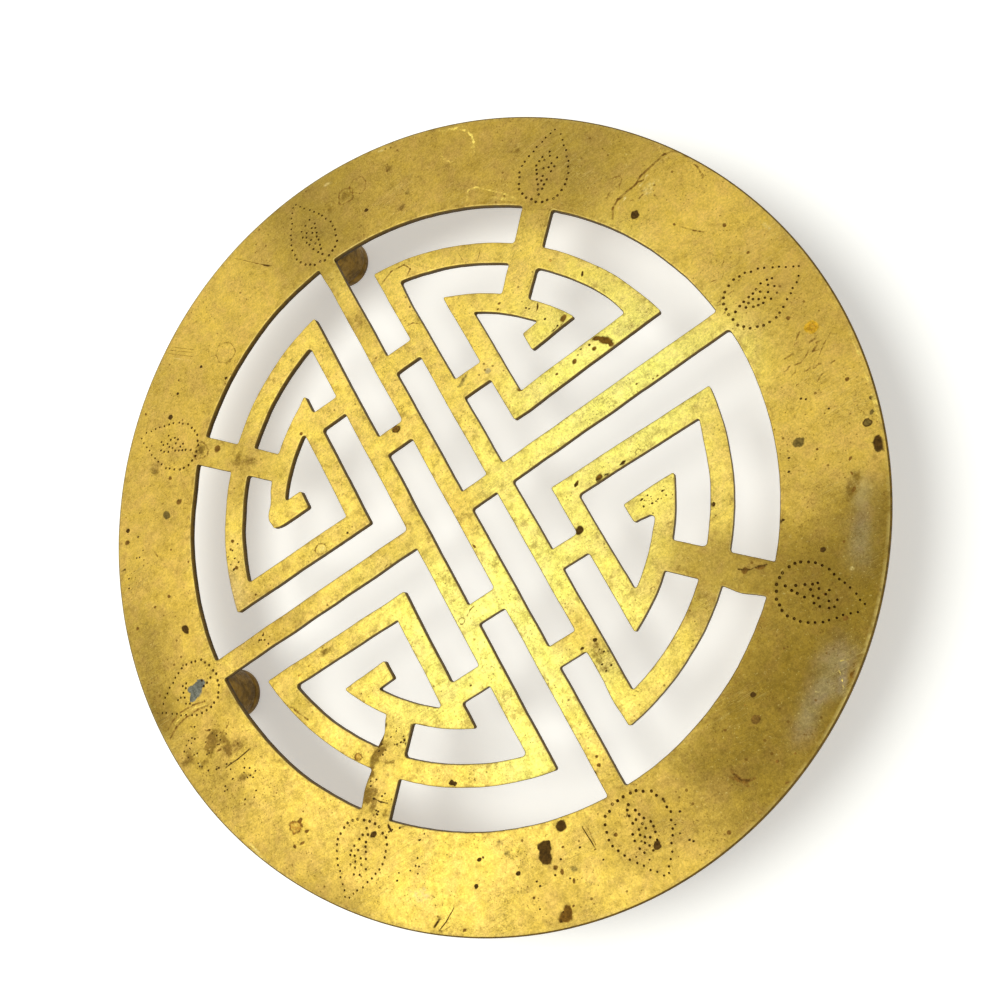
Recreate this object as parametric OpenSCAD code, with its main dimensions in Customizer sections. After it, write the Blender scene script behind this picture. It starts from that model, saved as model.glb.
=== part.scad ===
// A round pierced trivet: one flat sheet with a fretwork centre, on four turned feet
// that are soldered to its underside. Millimetres, +Z up. The origin is on the table
// under the middle of the plate. +X runs along the long bar, +Y along the spine.

/* [Plate] */
// Diameter of the plate
plate_d = 150; // [146:1:190]
// Thickness of the sheet
plate_t = 1.6; // [1:0.1:3]
// Width of the ring round the pierced centre
ring_w = 17.6; // [15.5:0.1:22]
// Rounding of the rim's two edges
rim_round = 0.4; // [0.1:0.05:0.45]

/* [Bars that cross the plate] */
// Width of the spine
spine_w = 3.5; // [2:0.1:5]
// Width of the long bar
long_bar_w = 4; // [2:0.1:5]

/* [Corner cells] */
// Width of the channel between the ring and the cells
outer_channel_w = 7.5; // [5:0.1:9]
// Width of the arcs that close the cells
cell_arc_w = 4; // [2:0.1:5]
// Width of the cells' lower bars
cell_bar_w = 3.9; // [2:0.1:5]
// Width of the uprights beside the spine
upright_w = 3.6; // [2:0.1:5]
// Width of the inner uprights
inner_upright_w = 3.7; // [2:0.1:5]
// Width of the diagonal spokes at the rim
spoke_w = 5.9; // [3:0.1:8]
// Width of the diagonal spokes at their inner ends
spoke_inner_w = 5.4; // [3:0.1:8]

/* [Hooks and ties] */
// Width of the channel between the cells' arcs and the inner arcs
inner_channel_w = 5.9; // [4:0.1:7]
// Width of the inner arcs
hook_arc_w = 3.6; // [2:0.1:5]
// Width of the hooks at their ends
hook_w = 3.8; // [2:0.1:5]
// Width of the short ties between the uprights
tie_w = 4.1; // [2:0.1:5]

/* [Hand work] */
// The most that a hand-sawn bar strays from its drawn place
saw_drift = 2; // [0:0.1:2.5]

/* [Feet] */
// Diameter of a foot
foot_d = 10; // [6:0.1:12]
// Length of a foot
foot_h = 15; // [8:0.5:25]
// Rounding of a foot's lower edge
foot_round = 0.7; // [0.2:0.1:1.5]
// Distance from the pierced centre to the feet
foot_margin = 2.3; // [1.5:0.1:4]
// Angle of the left foot past the long bar, in degrees
left_foot_turn = 1.6; // [-3:0.1:3]

/* [Solder] */
// Thickness of the solder between a foot and the plate
solder_film = 0.1; // [0.05:0.05:0.3]
// Reach of the solder fillet round a foot
solder_fillet = 1.3; // [0.5:0.1:1.5]
// Thickness of the solder fillet at its edges
solder_lip = 0.15; // [0.1:0.05:0.3]

/* [Hidden] */
$fn = 180;

plate_r = plate_d / 2;
opening_r = plate_r - ring_w;
cell_arc_r = opening_r - outer_channel_w;
hook_arc_r = cell_arc_r - cell_arc_w - inner_channel_w;
foot_r = foot_d / 2;
foot_ring_r = opening_r + foot_margin + foot_r;
quarter = 90;
left_foot_angle = 2 * quarter + left_foot_turn;
plate_z = foot_h + solder_film;
// How far a cutting shape runs past the surface that it cuts
overrun = 1;

// Where the fret's lines are drawn, as shares of the inner arcs' radius
upright_share = 0.229;
inner_upright_share = 0.4625;
cell_bar_share = 0.236;
hook_share = 0.4725;
hook_tip_share = 0.6525;
near_tie_share = 0.465;
far_tie_share = 0.77;

// Where the sawn bars stray, as shares of saw_drift, away from the middle of the plate.
// Lists of four go round the quadrants: right back, left back, left front, right front.
quadrant_x = [1, -1, -1, 1];
quadrant_y = [1, 1, -1, -1];
cell_bar_inner_shares = [0.2, -0.25, 0.15, -0.4];
cell_bar_outer_shares = [0.9, -0.25, 0.15, -0.25];
inner_upright_shares = [0.2, -0.15, 0.05, -0.05];
hook_tip_shares = [0.2, -0.05, 0.05, 0];
hook_tip_y_shares = [0.1, -0.15, -0.1, -0.3];
hook_end_y_shares = [0.6, -0.05, 0.25, -0.3];
spoke_shares = [0.3, 0.3, 0.45, 0];
// How far the cells' arcs lie out along the long bar
cell_arc_shares = [0.2, -0.2, 0, 0];
// How much wider than drawn the inner arcs swing
hook_arc_shares = [0.15, -0.05, -0.1, 0];
inner_tie_shares = [0.25, -0.15, -0.9, -0.15];
column_tie_shares = [0.2, -0.1, 0, 0.95];
// The right upright, then the left one
upright_shares = [0.12, -0.12];
spine_drift_share = 0.15;
// The long bar at the rim on the left, at the left upright, and at the rim on the right
long_bar_shares = [-0.35, -0.08, 0.75];

// A line's place: its drawn share of the inner arcs' radius, and its stray
function place(share, drift_share) = hook_arc_r * share + saw_drift * drift_share;
function on_right(i) = quadrant_x[i] > 0;
function upright_x(i) = place(upright_share, upright_shares[on_right(i) ? 0 : 1]);
function inner_upright_x(i) = place(inner_upright_share, inner_upright_shares[i]);
function swing_r(i) = hook_arc_r + saw_drift * hook_arc_shares[i];
// The ties beside the spine and those beside the inner uprights change places from
// one side of the plate to the other.
function column_tie_y(i) =
  place(on_right(i) ? far_tie_share : near_tie_share, column_tie_shares[i]);
function inner_tie_y(i) =
  place(on_right(i) ? near_tie_share : far_tie_share, inner_tie_shares[i]);

// A bar along X whose middle line runs from [x0, y0] to [x1, y1]
module lying_bar(x0, y0, x1, y1, w) {
  polygon([
    [x0, y0 - w / 2], [x1, y1 - w / 2],
    [x1, y1 + w / 2], [x0, y0 + w / 2],
  ]);
}

// A bar along Y on the line x, from y0 to y1
module standing_bar(x, y0, y1, w) {
  translate([x - w / 2, y0])
    square([w, y1 - y0]);
}

// The part of a ring about [middle_x, 0] that lies beyond x and y
module corner_arc(r, w, x, y, middle_x = 0) {
  intersection() {
    translate([middle_x, 0])
      difference() {
        circle(r = r);
        circle(r = r - w);
      }
    translate([x, y])
      square(plate_r);
  }
}

// What of its children lies inside the circle of radius r about [x, 0]
module within(r, x = 0) {
  intersection() {
    translate([x, 0])
      circle(r = r);
    children();
  }
}

// The spine and the long bar
module crossing_bars() {
  left_end_x = -upright_x(1);
  spine_x = saw_drift * spine_drift_share;
  standing_bar(spine_x, -plate_r, plate_r, spine_w);
  lying_bar(-opening_r, saw_drift * long_bar_shares[0], left_end_x,
            saw_drift * long_bar_shares[1], long_bar_w);
  lying_bar(spine_x, 0, opening_r, saw_drift * long_bar_shares[2], long_bar_w);
}

// The cell's two uprights, its lower bar and the arc that closes it
module cell_frame(i) {
  x = inner_upright_x(i);
  y = place(cell_bar_share, cell_bar_inner_shares[i]);
  outer_y = place(cell_bar_share, cell_bar_outer_shares[i]);
  arc_x = saw_drift * cell_arc_shares[i];
  within(cell_arc_r, arc_x) {
    standing_bar(upright_x(i), 0, plate_r, upright_w);
    lying_bar(x - inner_upright_w / 2, y, cell_arc_r, outer_y, cell_bar_w);
  }
  within(swing_r(i))
    standing_bar(x, y - cell_bar_w / 2, plate_r, inner_upright_w);
  corner_arc(cell_arc_r, cell_arc_w, upright_x(i), outer_y, arc_x);
}

// The inner arc with the hook at its end
module hook(i) {
  tip_x = place(hook_tip_share, hook_tip_shares[i]);
  tip_y = place(hook_share, hook_tip_y_shares[i]);
  end_y = place(hook_share, hook_end_y_shares[i]);
  corner_arc(swing_r(i), hook_arc_w, inner_upright_x(i), end_y);
  within(swing_r(i))
    lying_bar(tip_x, tip_y, hook_arc_r, end_y, hook_w);
}

// The diagonal spoke from the inner arc to the rim
module spoke(i) {
  inner_r = hook_arc_r - hook_arc_w / 2;
  rotate(quarter / 2)
    translate([0, -saw_drift * spoke_shares[i]])
      polygon([
        [inner_r, -spoke_inner_w / 2], [opening_r + overrun, -spoke_w / 2],
        [opening_r + overrun, spoke_w / 2], [inner_r, spoke_inner_w / 2],
      ]);
}

// The short ties from the spine to the upright and from there to the inner upright
module ties(i) {
  lying_bar(0, column_tie_y(i), upright_x(i), column_tie_y(i), tie_w);
  lying_bar(upright_x(i), inner_tie_y(i), inner_upright_x(i), inner_tie_y(i), tie_w);
}

module quadrant(i) {
  scale([quadrant_x[i], quadrant_y[i]]) {
    cell_frame(i);
    hook(i);
    spoke(i);
    ties(i);
  }
}

// Everything that the saw left standing inside the opening
module fret() {
  crossing_bars();
  for (i = [0:3])
    quadrant(i);
}

// A solid disc with rounded edges
module rounded_disc(r, h, edge) {
  rotate_extrude() {
    square([r - edge, h]);
    translate([0, edge])
      square([r, h - 2 * edge]);
    translate([r - edge, edge])
      circle(r = edge);
    translate([r - edge, h - edge])
      circle(r = edge);
  }
}

module pierced_plate() {
  color("goldenrod")
    translate([0, 0, plate_z])
      difference() {
        rounded_disc(plate_r, plate_t, rim_round);
        translate([0, 0, -overrun])
          linear_extrude(plate_t + 2 * overrun)
            difference() {
              circle(r = opening_r);
              fret();
            }
      }
}

// Places a foot's pieces under the ring
module at_foot(angle) {
  rotate(angle)
    translate([foot_ring_r, 0, 0])
      children();
}

// A turned peg with its lower edge rounded
module foot(angle) {
  color("darkgoldenrod")
    at_foot(angle)
      rotate_extrude() {
        translate([0, foot_round])
          square([foot_r, foot_h - foot_round]);
        square([foot_r - foot_round, foot_round]);
        translate([foot_r - foot_round, foot_round])
          circle(r = foot_round);
      }
}

// The solder between a foot and the plate, drawn up into a hollow fillet round the foot
module solder(angle) {
  color("gray")
    at_foot(angle)
      translate([0, 0, plate_z])
        rotate_extrude() {
          translate([0, -solder_film])
            square([foot_r, solder_film]);
          difference() {
            translate([foot_r, -solder_fillet])
              square(solder_fillet);
            translate([foot_r + solder_fillet, -solder_fillet])
              circle(r = solder_fillet - solder_lip);
          }
        }
}

pierced_plate();
foot(0);  // foot_right
foot(quarter);  // foot_back
foot(left_foot_angle);  // foot_left
foot(3 * quarter);  // foot_front
solder(0);  // solder_right
solder(quarter);  // solder_back
solder(left_foot_angle);  // solder_left
solder(3 * quarter);  // solder_front
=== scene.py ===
import math
import random

import bpy
import numpy as np
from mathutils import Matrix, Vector, noise
from mathutils.kdtree import KDTree
from mathutils.geometry import delaunay_2d_cdt


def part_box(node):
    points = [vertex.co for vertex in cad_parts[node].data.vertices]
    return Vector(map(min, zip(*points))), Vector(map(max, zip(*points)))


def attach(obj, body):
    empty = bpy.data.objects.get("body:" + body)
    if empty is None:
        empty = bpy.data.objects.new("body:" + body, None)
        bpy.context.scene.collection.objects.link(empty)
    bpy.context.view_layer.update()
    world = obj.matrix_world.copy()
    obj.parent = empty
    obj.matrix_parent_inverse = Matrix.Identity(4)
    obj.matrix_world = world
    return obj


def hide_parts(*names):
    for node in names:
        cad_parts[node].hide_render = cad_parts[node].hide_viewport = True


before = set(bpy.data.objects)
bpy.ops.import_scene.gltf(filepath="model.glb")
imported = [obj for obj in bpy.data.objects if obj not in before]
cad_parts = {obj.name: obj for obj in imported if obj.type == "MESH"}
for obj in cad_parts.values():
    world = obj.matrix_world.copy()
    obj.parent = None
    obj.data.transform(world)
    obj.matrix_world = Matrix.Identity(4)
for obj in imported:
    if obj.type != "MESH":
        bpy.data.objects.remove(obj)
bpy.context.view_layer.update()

mm = 0.001

# Small helpers


def tone(red, green, blue):
    # a colour written as 0-255, as Blender's linear colour
    def linear(c):
        c /= 255
        return c / 12.92 if c <= 0.04045 else ((c + 0.055) / 1.055) ** 2.4
    return (linear(red), linear(green), linear(blue), 1.0)


def meshPiece(name, points, faces, slots, material):
    mesh = bpy.data.meshes.new(name)
    mesh.from_pydata([Vector(p) * mm for p in points], [], faces)
    mesh.update()
    piece = bpy.data.objects.new(name, mesh)
    bpy.context.scene.collection.objects.link(piece)
    for m in slots:
        mesh.materials.append(m)
    mesh.polygons.foreach_set("material_index", material)
    mesh.polygons.foreach_set("use_smooth", [True] * len(faces))
    return piece


def paint(piece, label, values, kind="FLOAT"):
    # a value or a colour for each point of the piece, under a name that its finish reads
    layer = piece.data.attributes.new(label, kind, "POINT")
    layer.data.foreach_set("value" if kind == "FLOAT" else "color", np.ravel(values))


def band(first, second):
    # the faces between two rings of points, or between a ring and a single point
    faces = []
    count = max(len(first), len(second))
    for i in range(count):
        j = (i + 1) % count
        if len(first) == 1:
            faces.append((first[0], second[j], second[i]))
        elif len(second) == 1:
            faces.append((first[i], first[j], second[0]))
        else:
            faces.append((first[i], first[j], second[j], second[i]))
    return faces


def treeOf(points):
    tree = KDTree(len(points))
    for i, p in enumerate(points):
        tree.insert((p[0], p[1], 0), i)
    tree.balance()
    return tree


def awayFrom(tree, p):
    return tree.find((p[0], p[1], 0))[2]


def wave(x, y, size, seed):
    # smooth noise between about -1 and 1 that changes over size millimetres
    return noise.noise(Vector((x / size, y / size, seed)))


def waveRound(angle, swing, seed):
    # the same round a circle, quicker with a larger swing
    return noise.noise(Vector((swing * math.cos(angle), swing * math.sin(angle), seed)))


def softStep(value, start, end):
    t = np.clip((value - start) / (end - start), 0, 1)
    return t * t * (3 - 2 * t)


# Camera

camera = {
    "place": (52.26, -66.94, 208.13),     # mm from the middle of the plate, on the table
    "turn": (9.1146, 20.2173, -29.9207),  # degrees about X, Y and Z
    "lens": 41.376,
    "sensor": 36,                         # mm across
    "clip": (0.01, 20),                   # nearest and farthest, in metres
}

eye = bpy.data.cameras.new("photoCamera")
eye.lens = camera["lens"]
eye.sensor_width = camera["sensor"]
eye.clip_start, eye.clip_end = camera["clip"]
eyeObject = bpy.data.objects.new("photoCamera", eye)
eyeObject.location = Vector(camera["place"]) * mm
eyeObject.rotation_euler = [math.radians(a) for a in camera["turn"]]
bpy.context.scene.collection.objects.link(eyeObject)
bpy.context.scene.camera = eyeObject
print("camera placed")

# The pierced plate

plateLow, plateHigh = (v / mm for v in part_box("pierced_plate"))

plate = {
    "top": plateHigh.z,
    "bottom": plateLow.z,
    "rim": plateHigh.x,
    "step": 0.8,          # spacing of points along a sawn edge
    "closest": 0.4,       # points of the CAD edge nearer than this to each other are thinned
    "bend": 18,           # degrees from which a turn of the edge is a corner
    "arcStep": 20,        # degrees between the points of a rounded corner
    "corner": 0.42,       # how far a file rounds the metal's outer corners
    "tip": 0.5,           # the most that it takes off the end of a pointed one
    "inner": (0.15, 0.7),  # how round the metal's inner corners are, least and most
    "trimmed": 0.4,       # the most that a round takes of the shorter edge beside it
    "arcRoom": 0.85,      # share of a round's radius over which its points may move inwards
    "sideRoom": 0.9,      # share of the way to the corner's middle line for those beside it
    "sawWobble": 0.10,    # slow wander of a sawn edge
    "sawJitter": 0.035,   # quick wander
    "rimWobble": 0.12,
    "dip": 0.05,          # hollows of the hand-flattened face
    "showsUnder": 0.3,    # share of a hollow that shows underneath
    "grid": 2.3,          # spacing of points on the flat faces
    "rows": 0.87,         # spacing of their rows, as a share of it
    "loose": 0.3,         # how far they stray from the grid
    "gridMargin": 1.6,    # how far inside the rim they stop
    "markMargin": 1.1,    # and how far inside it the marks' own points stop
    "cell": 0.07,         # two points in one cell of this size are one
}
# least distances of the loose points: marks from edges and from dots, grid from both
keepOff = {"markEdge": 0.3, "markDot": 0.5, "gridEdge": 0.75, "gridMark": 0.5}

# How far in from the edge, and how far down from the face, the edge's rings lie
sawnEdge = [(0.36, 0.0), (0.2, 0.012), (0.07, 0.06), (0.0, 0.19), (0.02, 0.62),
            (-0.01, 1.05), (0.0, 1.42), (0.08, 1.55), (0.24, 1.6), (0.36, 1.6)]
turnedRim = [(0.95, 0.0), (0.34, 0.015), (0.2, 0.07), (0.07, 0.2), (0.0, 0.42),
             (0.0, 1.18), (0.08, 1.4), (0.24, 1.53), (0.5, 1.59), (0.95, 1.6)]
# Per ring of an edge: wear, brightened into a painted highlight where the edge faces the camera,
# and painted shade where it faces away
wearAndGlintOfSawnRing = [0.0, 0.3, 0.9, 0.35, 0.0, 0.0, 0.0, 0.3, 0.3, 0.0]
wearAndGlintOfRimRing = [0.0, 0.7, 0.15, 0.0, 0.0, 0.0, 0.0, 0.3, 0.3, 0.0]
paintedShadeOfRing = [0.0, 0.12, 0.6, 0.75, 0.3, 0.0, 0.0, 0.0, 0.0, 0.0]
shoulderRings, lowerRings = 4, 7     # rings before the wall, and the first one after it
paintedLightSide = (52, -67)         # the camera's place in mm: edges facing it get a painted highlight, edges facing away painted shade
grimeReach = (1.5, 0.2)        # mm from an edge where its grime starts, and where it is full

# Places where the saw strayed: x, y, pull in x, pull in y, reach
strays = [
    (-36.2, 16.8, 1.6, 0.4, 2.2), (-32.2, 22.0, 0.3, -0.5, 2.0),
    (-33.0, -27.6, 0.35, -0.4, 1.6), (-40.5, -35.2, -0.2, 0.3, 2.2),
    (11.3, 44.0, 0.3, 0.0, 2.5), (7.2, -44.0, -0.3, 0.0, 2.5),
    (2.0, 56.0, 0.2, 0.0, 3.0), (-1.7, 56.0, -0.3, 0.0, 3.0),
    (44.4, 13.0, -0.4, 0.0, 2.5), (44.6, -10.9, 0.3, 0.0, 2.5),
    (35.5, -39.5, -0.3, -0.4, 2.4), (-43.0, 38.0, -0.2, 0.2, 3.0),
    (29.6, -20.9, -0.1, -0.4, 1.8), (-16.9, 35.9, 0.0, 0.3, 1.0),
]


def strayed(x, y):
    dx = plate["sawWobble"] * wave(x, y, 6, 1.3) + plate["sawJitter"] * wave(x, y, 1.6, 7.1)
    dy = plate["sawWobble"] * wave(x, y, 6, 4.9) + plate["sawJitter"] * wave(x, y, 1.6, 9.7)
    for sx, sy, px, py, reach in strays:
        pull = math.exp(-((x - sx) ** 2 + (y - sy) ** 2) / reach ** 2)
        dx += px * pull
        dy += py * pull
    return x + dx, y + dy


def cadTopLoops():
    # the closed edges of the CAD plate's flat top face, metal on their left
    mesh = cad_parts["pierced_plate"].data
    mesh.calc_loop_triangles()
    place = [v.co / mm for v in mesh.vertices]
    key = [(round(p.x, 3), round(p.y, 3)) for p in place]
    onward = {}
    directed = set()
    for triangle in mesh.loop_triangles:
        a, b, c = triangle.vertices
        if all(abs(place[i].z - plate["top"]) < 0.001 for i in (a, b, c)):
            for i, j in ((a, b), (b, c), (c, a)):
                directed.add((key[i], key[j]))
    for a, b in directed:
        if (b, a) not in directed:
            onward[a] = b
    loops = []
    while onward:
        start = min(onward)
        loop = [start]
        point = onward.pop(start)
        while point != start:
            loop.append(point)
            point = onward.pop(point)
        loops.append(loop)
    return loops


def isRim(loop):
    return all(math.hypot(*p) > plate["rim"] - 1 for p in loop)


def turnAt(a, b, c):
    one = math.atan2(b[1] - a[1], b[0] - a[0])
    two = math.atan2(c[1] - b[1], c[0] - b[0])
    return (two - one + math.pi) % (2 * math.pi) - math.pi


def pathLengths(path):
    lengths = [0.0]
    for a, b in zip(path, path[1:]):
        lengths.append(lengths[-1] + math.dist(a, b))
    return lengths


def alongPath(path, distances):
    lengths = pathLengths(path)
    xs = np.interp(distances, lengths, [p[0] for p in path])
    ys = np.interp(distances, lengths, [p[1] for p in path])
    return list(zip(xs.tolist(), ys.tolist()))


def cornerArc(before, corner, after):
    # the file's round on a corner, between its two ends
    toBefore, toAfter = (before - corner).normalized(), (after - corner).normalized()
    turn = math.pi - toBefore.angle(toAfter)
    trim = (before - corner).length
    radius = trim / math.tan(turn / 2)
    middle = corner + (toBefore + toAfter).normalized() * math.hypot(trim, radius)
    first, last = before - middle, after - middle
    pieces = max(3, math.ceil(turn / math.radians(plate["arcStep"])))
    arc = []
    for i in range(1, pieces):
        u = turn * i / pieces
        p = (first * math.sin(turn - u) + last * math.sin(u)) / math.sin(turn)
        arc.append((middle + p)[:])
    return arc


def filedLoop(loop):
    # even points along a sawn edge, its corners rounded a little, its line hand-wobbled
    loop = [p for i, p in enumerate(loop) if math.dist(p, loop[i - 1]) > plate["closest"]]
    count = len(loop)
    bends = [turnAt(loop[i - 1], loop[i], loop[(i + 1) % count]) for i in range(count)]
    corners = [i for i in range(count) if abs(bends[i]) > math.radians(plate["bend"])]
    turns = [bends[i] for i in corners]
    runs = []
    for n, first in enumerate(corners):
        last = corners[(n + 1) % len(corners)]
        path = [loop[first]]
        i = first
        while i != last:
            i = (i + 1) % count
            path.append(loop[i])
        runs.append(path)
    trims = []
    for n, (i, turn) in enumerate(zip(corners, turns)):
        shortest = min(pathLengths(runs[n])[-1], pathLengths(runs[n - 1])[-1])
        if turn > 0:
            trim = min(plate["corner"] * math.tan(turn / 2), plate["tip"])
        else:
            least, most = plate["inner"]
            filed = 0.5 + 0.9 * wave(*loop[i], 5, 6.4)
            trim = (least + (most - least) * min(1, max(0, filed))) * math.tan(-turn / 2)
        trims.append(min(trim, plate["trimmed"] * shortest))
    points, room = [], []      # room: how far a point may be moved into the metal
    for n, path in enumerate(runs):
        total = pathLengths(path)[-1]
        m = (n + 1) % len(runs)
        start, end = trims[n], total - trims[m]
        pieces = max(1, round((end - start) / plate["step"]))
        reaches = np.linspace(start, end, pieces + 1)
        run = alongPath(path, reaches)
        before = alongPath(runs[n - 1], [pathLengths(runs[n - 1])[-1] - trims[n]])[0]
        arc = cornerArc(Vector(before), Vector(path[0]), Vector(run[0]))
        radius = trims[n] / math.tan(abs(turns[n]) / 2)
        points += arc + run
        room += [plate["arcRoom"] * radius if turns[n] > 0 else math.inf] * len(arc)
        for reach in reaches:
            ends = [(reach, turns[n]), (total - reach, turns[m])]
            besides = [plate["sideRoom"] * away * math.tan((math.pi - turn) / 2)
                       for away, turn in ends if turn > 0]
            room.append(min([math.inf] + besides))
    deepest = sawnEdge[0][0]
    share = [min(1.0, r / deepest) for r in room]
    return [strayed(*p) for p in points], share


def rimLoop():
    count = round(2 * math.pi * plate["rim"] / plate["step"])
    points = []
    for i in range(count):
        a = 2 * math.pi * i / count
        x, y = math.cos(a), math.sin(a)
        r = plate["rim"] - plate["rimWobble"] * (0.5 + 0.5 * wave(x, y, 0.4, 2.2))
        points.append((r * x, r * y))
    return points


def insetLoop(points, depth, share):
    # moves a loop into the metal, which lies on its left, less where share is small
    xy = np.array(points)
    ahead = np.roll(xy, -1, 0) - xy
    ahead /= np.linalg.norm(ahead, axis=1, keepdims=True)
    mean = ahead + np.roll(ahead, 1, 0)
    mean /= np.linalg.norm(mean, axis=1, keepdims=True)
    left = np.column_stack([-mean[:, 1], mean[:, 0]])
    return xy + left * depth * np.array(share)[:, None]


def hollow(x, y):
    # how far the face lies below its highest level
    return plate["dip"] * (0.6 + 0.45 * wave(x, y, 9, 3.1) + 0.25 * wave(x, y, 3.2, 5.5))


def topAt(x, y):
    return plate["top"] - hollow(x, y)


def underAt(x, y):
    return plate["bottom"] + plate["showsUnder"] * hollow(x, y)


# The punched leaves

leaves = {
    "inner": 58.5,        # radius of a leaf's round end
    "outer": 73.1,        # radius of its tip
    "dots": 33,
    "dotRadius": 0.31,
    "depth": 0.3,
    "swelling": 0.28,     # height of a dent's swelling underneath, as a share of its depth
    "filled": 2.6,        # how fast the dirt thickens down a dent
    "dirtUnderGlint": 0.45,      # share of the dirt left in a dent with a painted glint
    "apart": 0.78,        # least distance between two dots
    "jitter": 0.15,
    "rowJitter": 0.2,     # and of the inner rows, along the leaf
    "taper": 0.35,        # how much smaller the dots are at the tip, as a share
    "splash": (-64.0, -1.1, 1.9),     # grey splash that hides dots: x, y, radius
}
# half width of a leaf, from its round end to its tip: share of its length, mm
leafSide = [(0.0, 0.0), (0.02, 2.2), (0.10, 4.5), (0.24, 5.6), (0.40, 5.8),
            (0.57, 4.8), (0.75, 3.0), (0.90, 1.2), (1.0, 0.0)]
# rows of dots inside a leaf: share of its length, dots, half width
leafRows = [(0.10, 1, 0.0), (0.16, 2, 0.45), (0.22, 2, 0.6), (0.28, 3, 0.95), (0.33, 3, 1.2),
            (0.39, 4, 1.6), (0.44, 4, 1.9), (0.49, 5, 2.2), (0.55, 4, 1.9), (0.61, 3, 1.5),
            (0.67, 1, 0.8)]
# angle, shift sideways, lean in degrees, width share, slant of the inner rows, and the
# share of the dots that get a painted glint in the middle
leafPlaces = [
    (0, 1.5, 0, 0.86, 0.35, 0.06), (45, -0.3, -2, 0.84, -0.3, 0.15),
    (90, -0.4, 1, 0.86, -0.4, 0.3), (135, 0.8, -1, 0.84, 0.3, 0.03),
    (180, 1.0, 0, 0.88, 0.2, 0.05), (225, -1.9, -2, 0.85, 0.45, 0.12),
    (270, 0.9, 0, 1.0, -0.3, 0.04), (315, -0.8, -1, 0.84, -0.45, 0.05),
]


def leafDots(angle, shift, lean, width, slant, paintedGlint, rng):
    # x, y, radius of each punched dot, and whether it gets a painted glint in the middle
    length = leaves["outer"] - leaves["inner"]
    half = [(s * length, w * width) for s, w in leafSide]
    around = half + [(s, -w) for s, w in reversed(half[1:-1])]
    around.append(around[0])
    total = pathLengths(around)[-1]
    dots = alongPath(around, [total * i / leaves["dots"] for i in range(leaves["dots"])])
    for s, count, spread in leafRows:
        for i in range(count):
            side = 0 if count == 1 else spread * (2 * i / (count - 1) - 1)
            stray = rng.uniform(-leaves["rowJitter"], leaves["rowJitter"])
            dots.append((s * length + slant * side + stray, side * width))
    turn = math.radians(lean)
    a = math.radians(angle)
    placed = []
    for along, side in dots:
        along += rng.uniform(-1, 1) * leaves["jitter"]
        side += rng.uniform(-1, 1) * leaves["jitter"]
        middle = length / 2
        out = leaves["inner"] + middle + (along - middle) * math.cos(turn) - side * math.sin(turn)
        across = shift + (along - middle) * math.sin(turn) + side * math.cos(turn)
        radius = leaves["dotRadius"] * (1 - leaves["taper"] * min(1, max(0, along / length)))
        placed.append((out * math.cos(a) - across * math.sin(a),
                       out * math.sin(a) + across * math.cos(a), radius, rng.random() < paintedGlint))
    return placed


rng = random.Random(31)
punchDots = []
for place in leafPlaces:
    for dot in leafDots(*place, rng):
        hidden = math.dist(dot[:2], leaves["splash"][:2]) < leaves["splash"][2]
        crowded = any(math.dist(dot[:2], other[:2]) < leaves["apart"] for other in punchDots)
        if not hidden and not crowded:
            punchDots.append(dot)
print("punched dots:", len(punchDots))

# rings of a punched dent: share of its radius, depth share on top, height share underneath
dentRings = [(1.22, 0.0, 0.0), (1.0, -0.05, 0.04), (0.8, 0.35, 0.15), (0.45, 0.8, 0.24)]
dentSides = 10

# Stains, spots and scratches

# The tones of the patina and of painted reflections, from a painted highlight to brown
patinaAndReflectionTones = {
    "paintedHighlight": (255, 248, 130),
    "bright": (246, 214, 98),
    "golden": (224, 190, 84),
    "honey": (208, 175, 78),
    "dull": (192, 160, 70),
    "aged": (172, 144, 62),
    "brown": (138, 113, 40),
    "chalky": (222, 194, 136),
}
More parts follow.
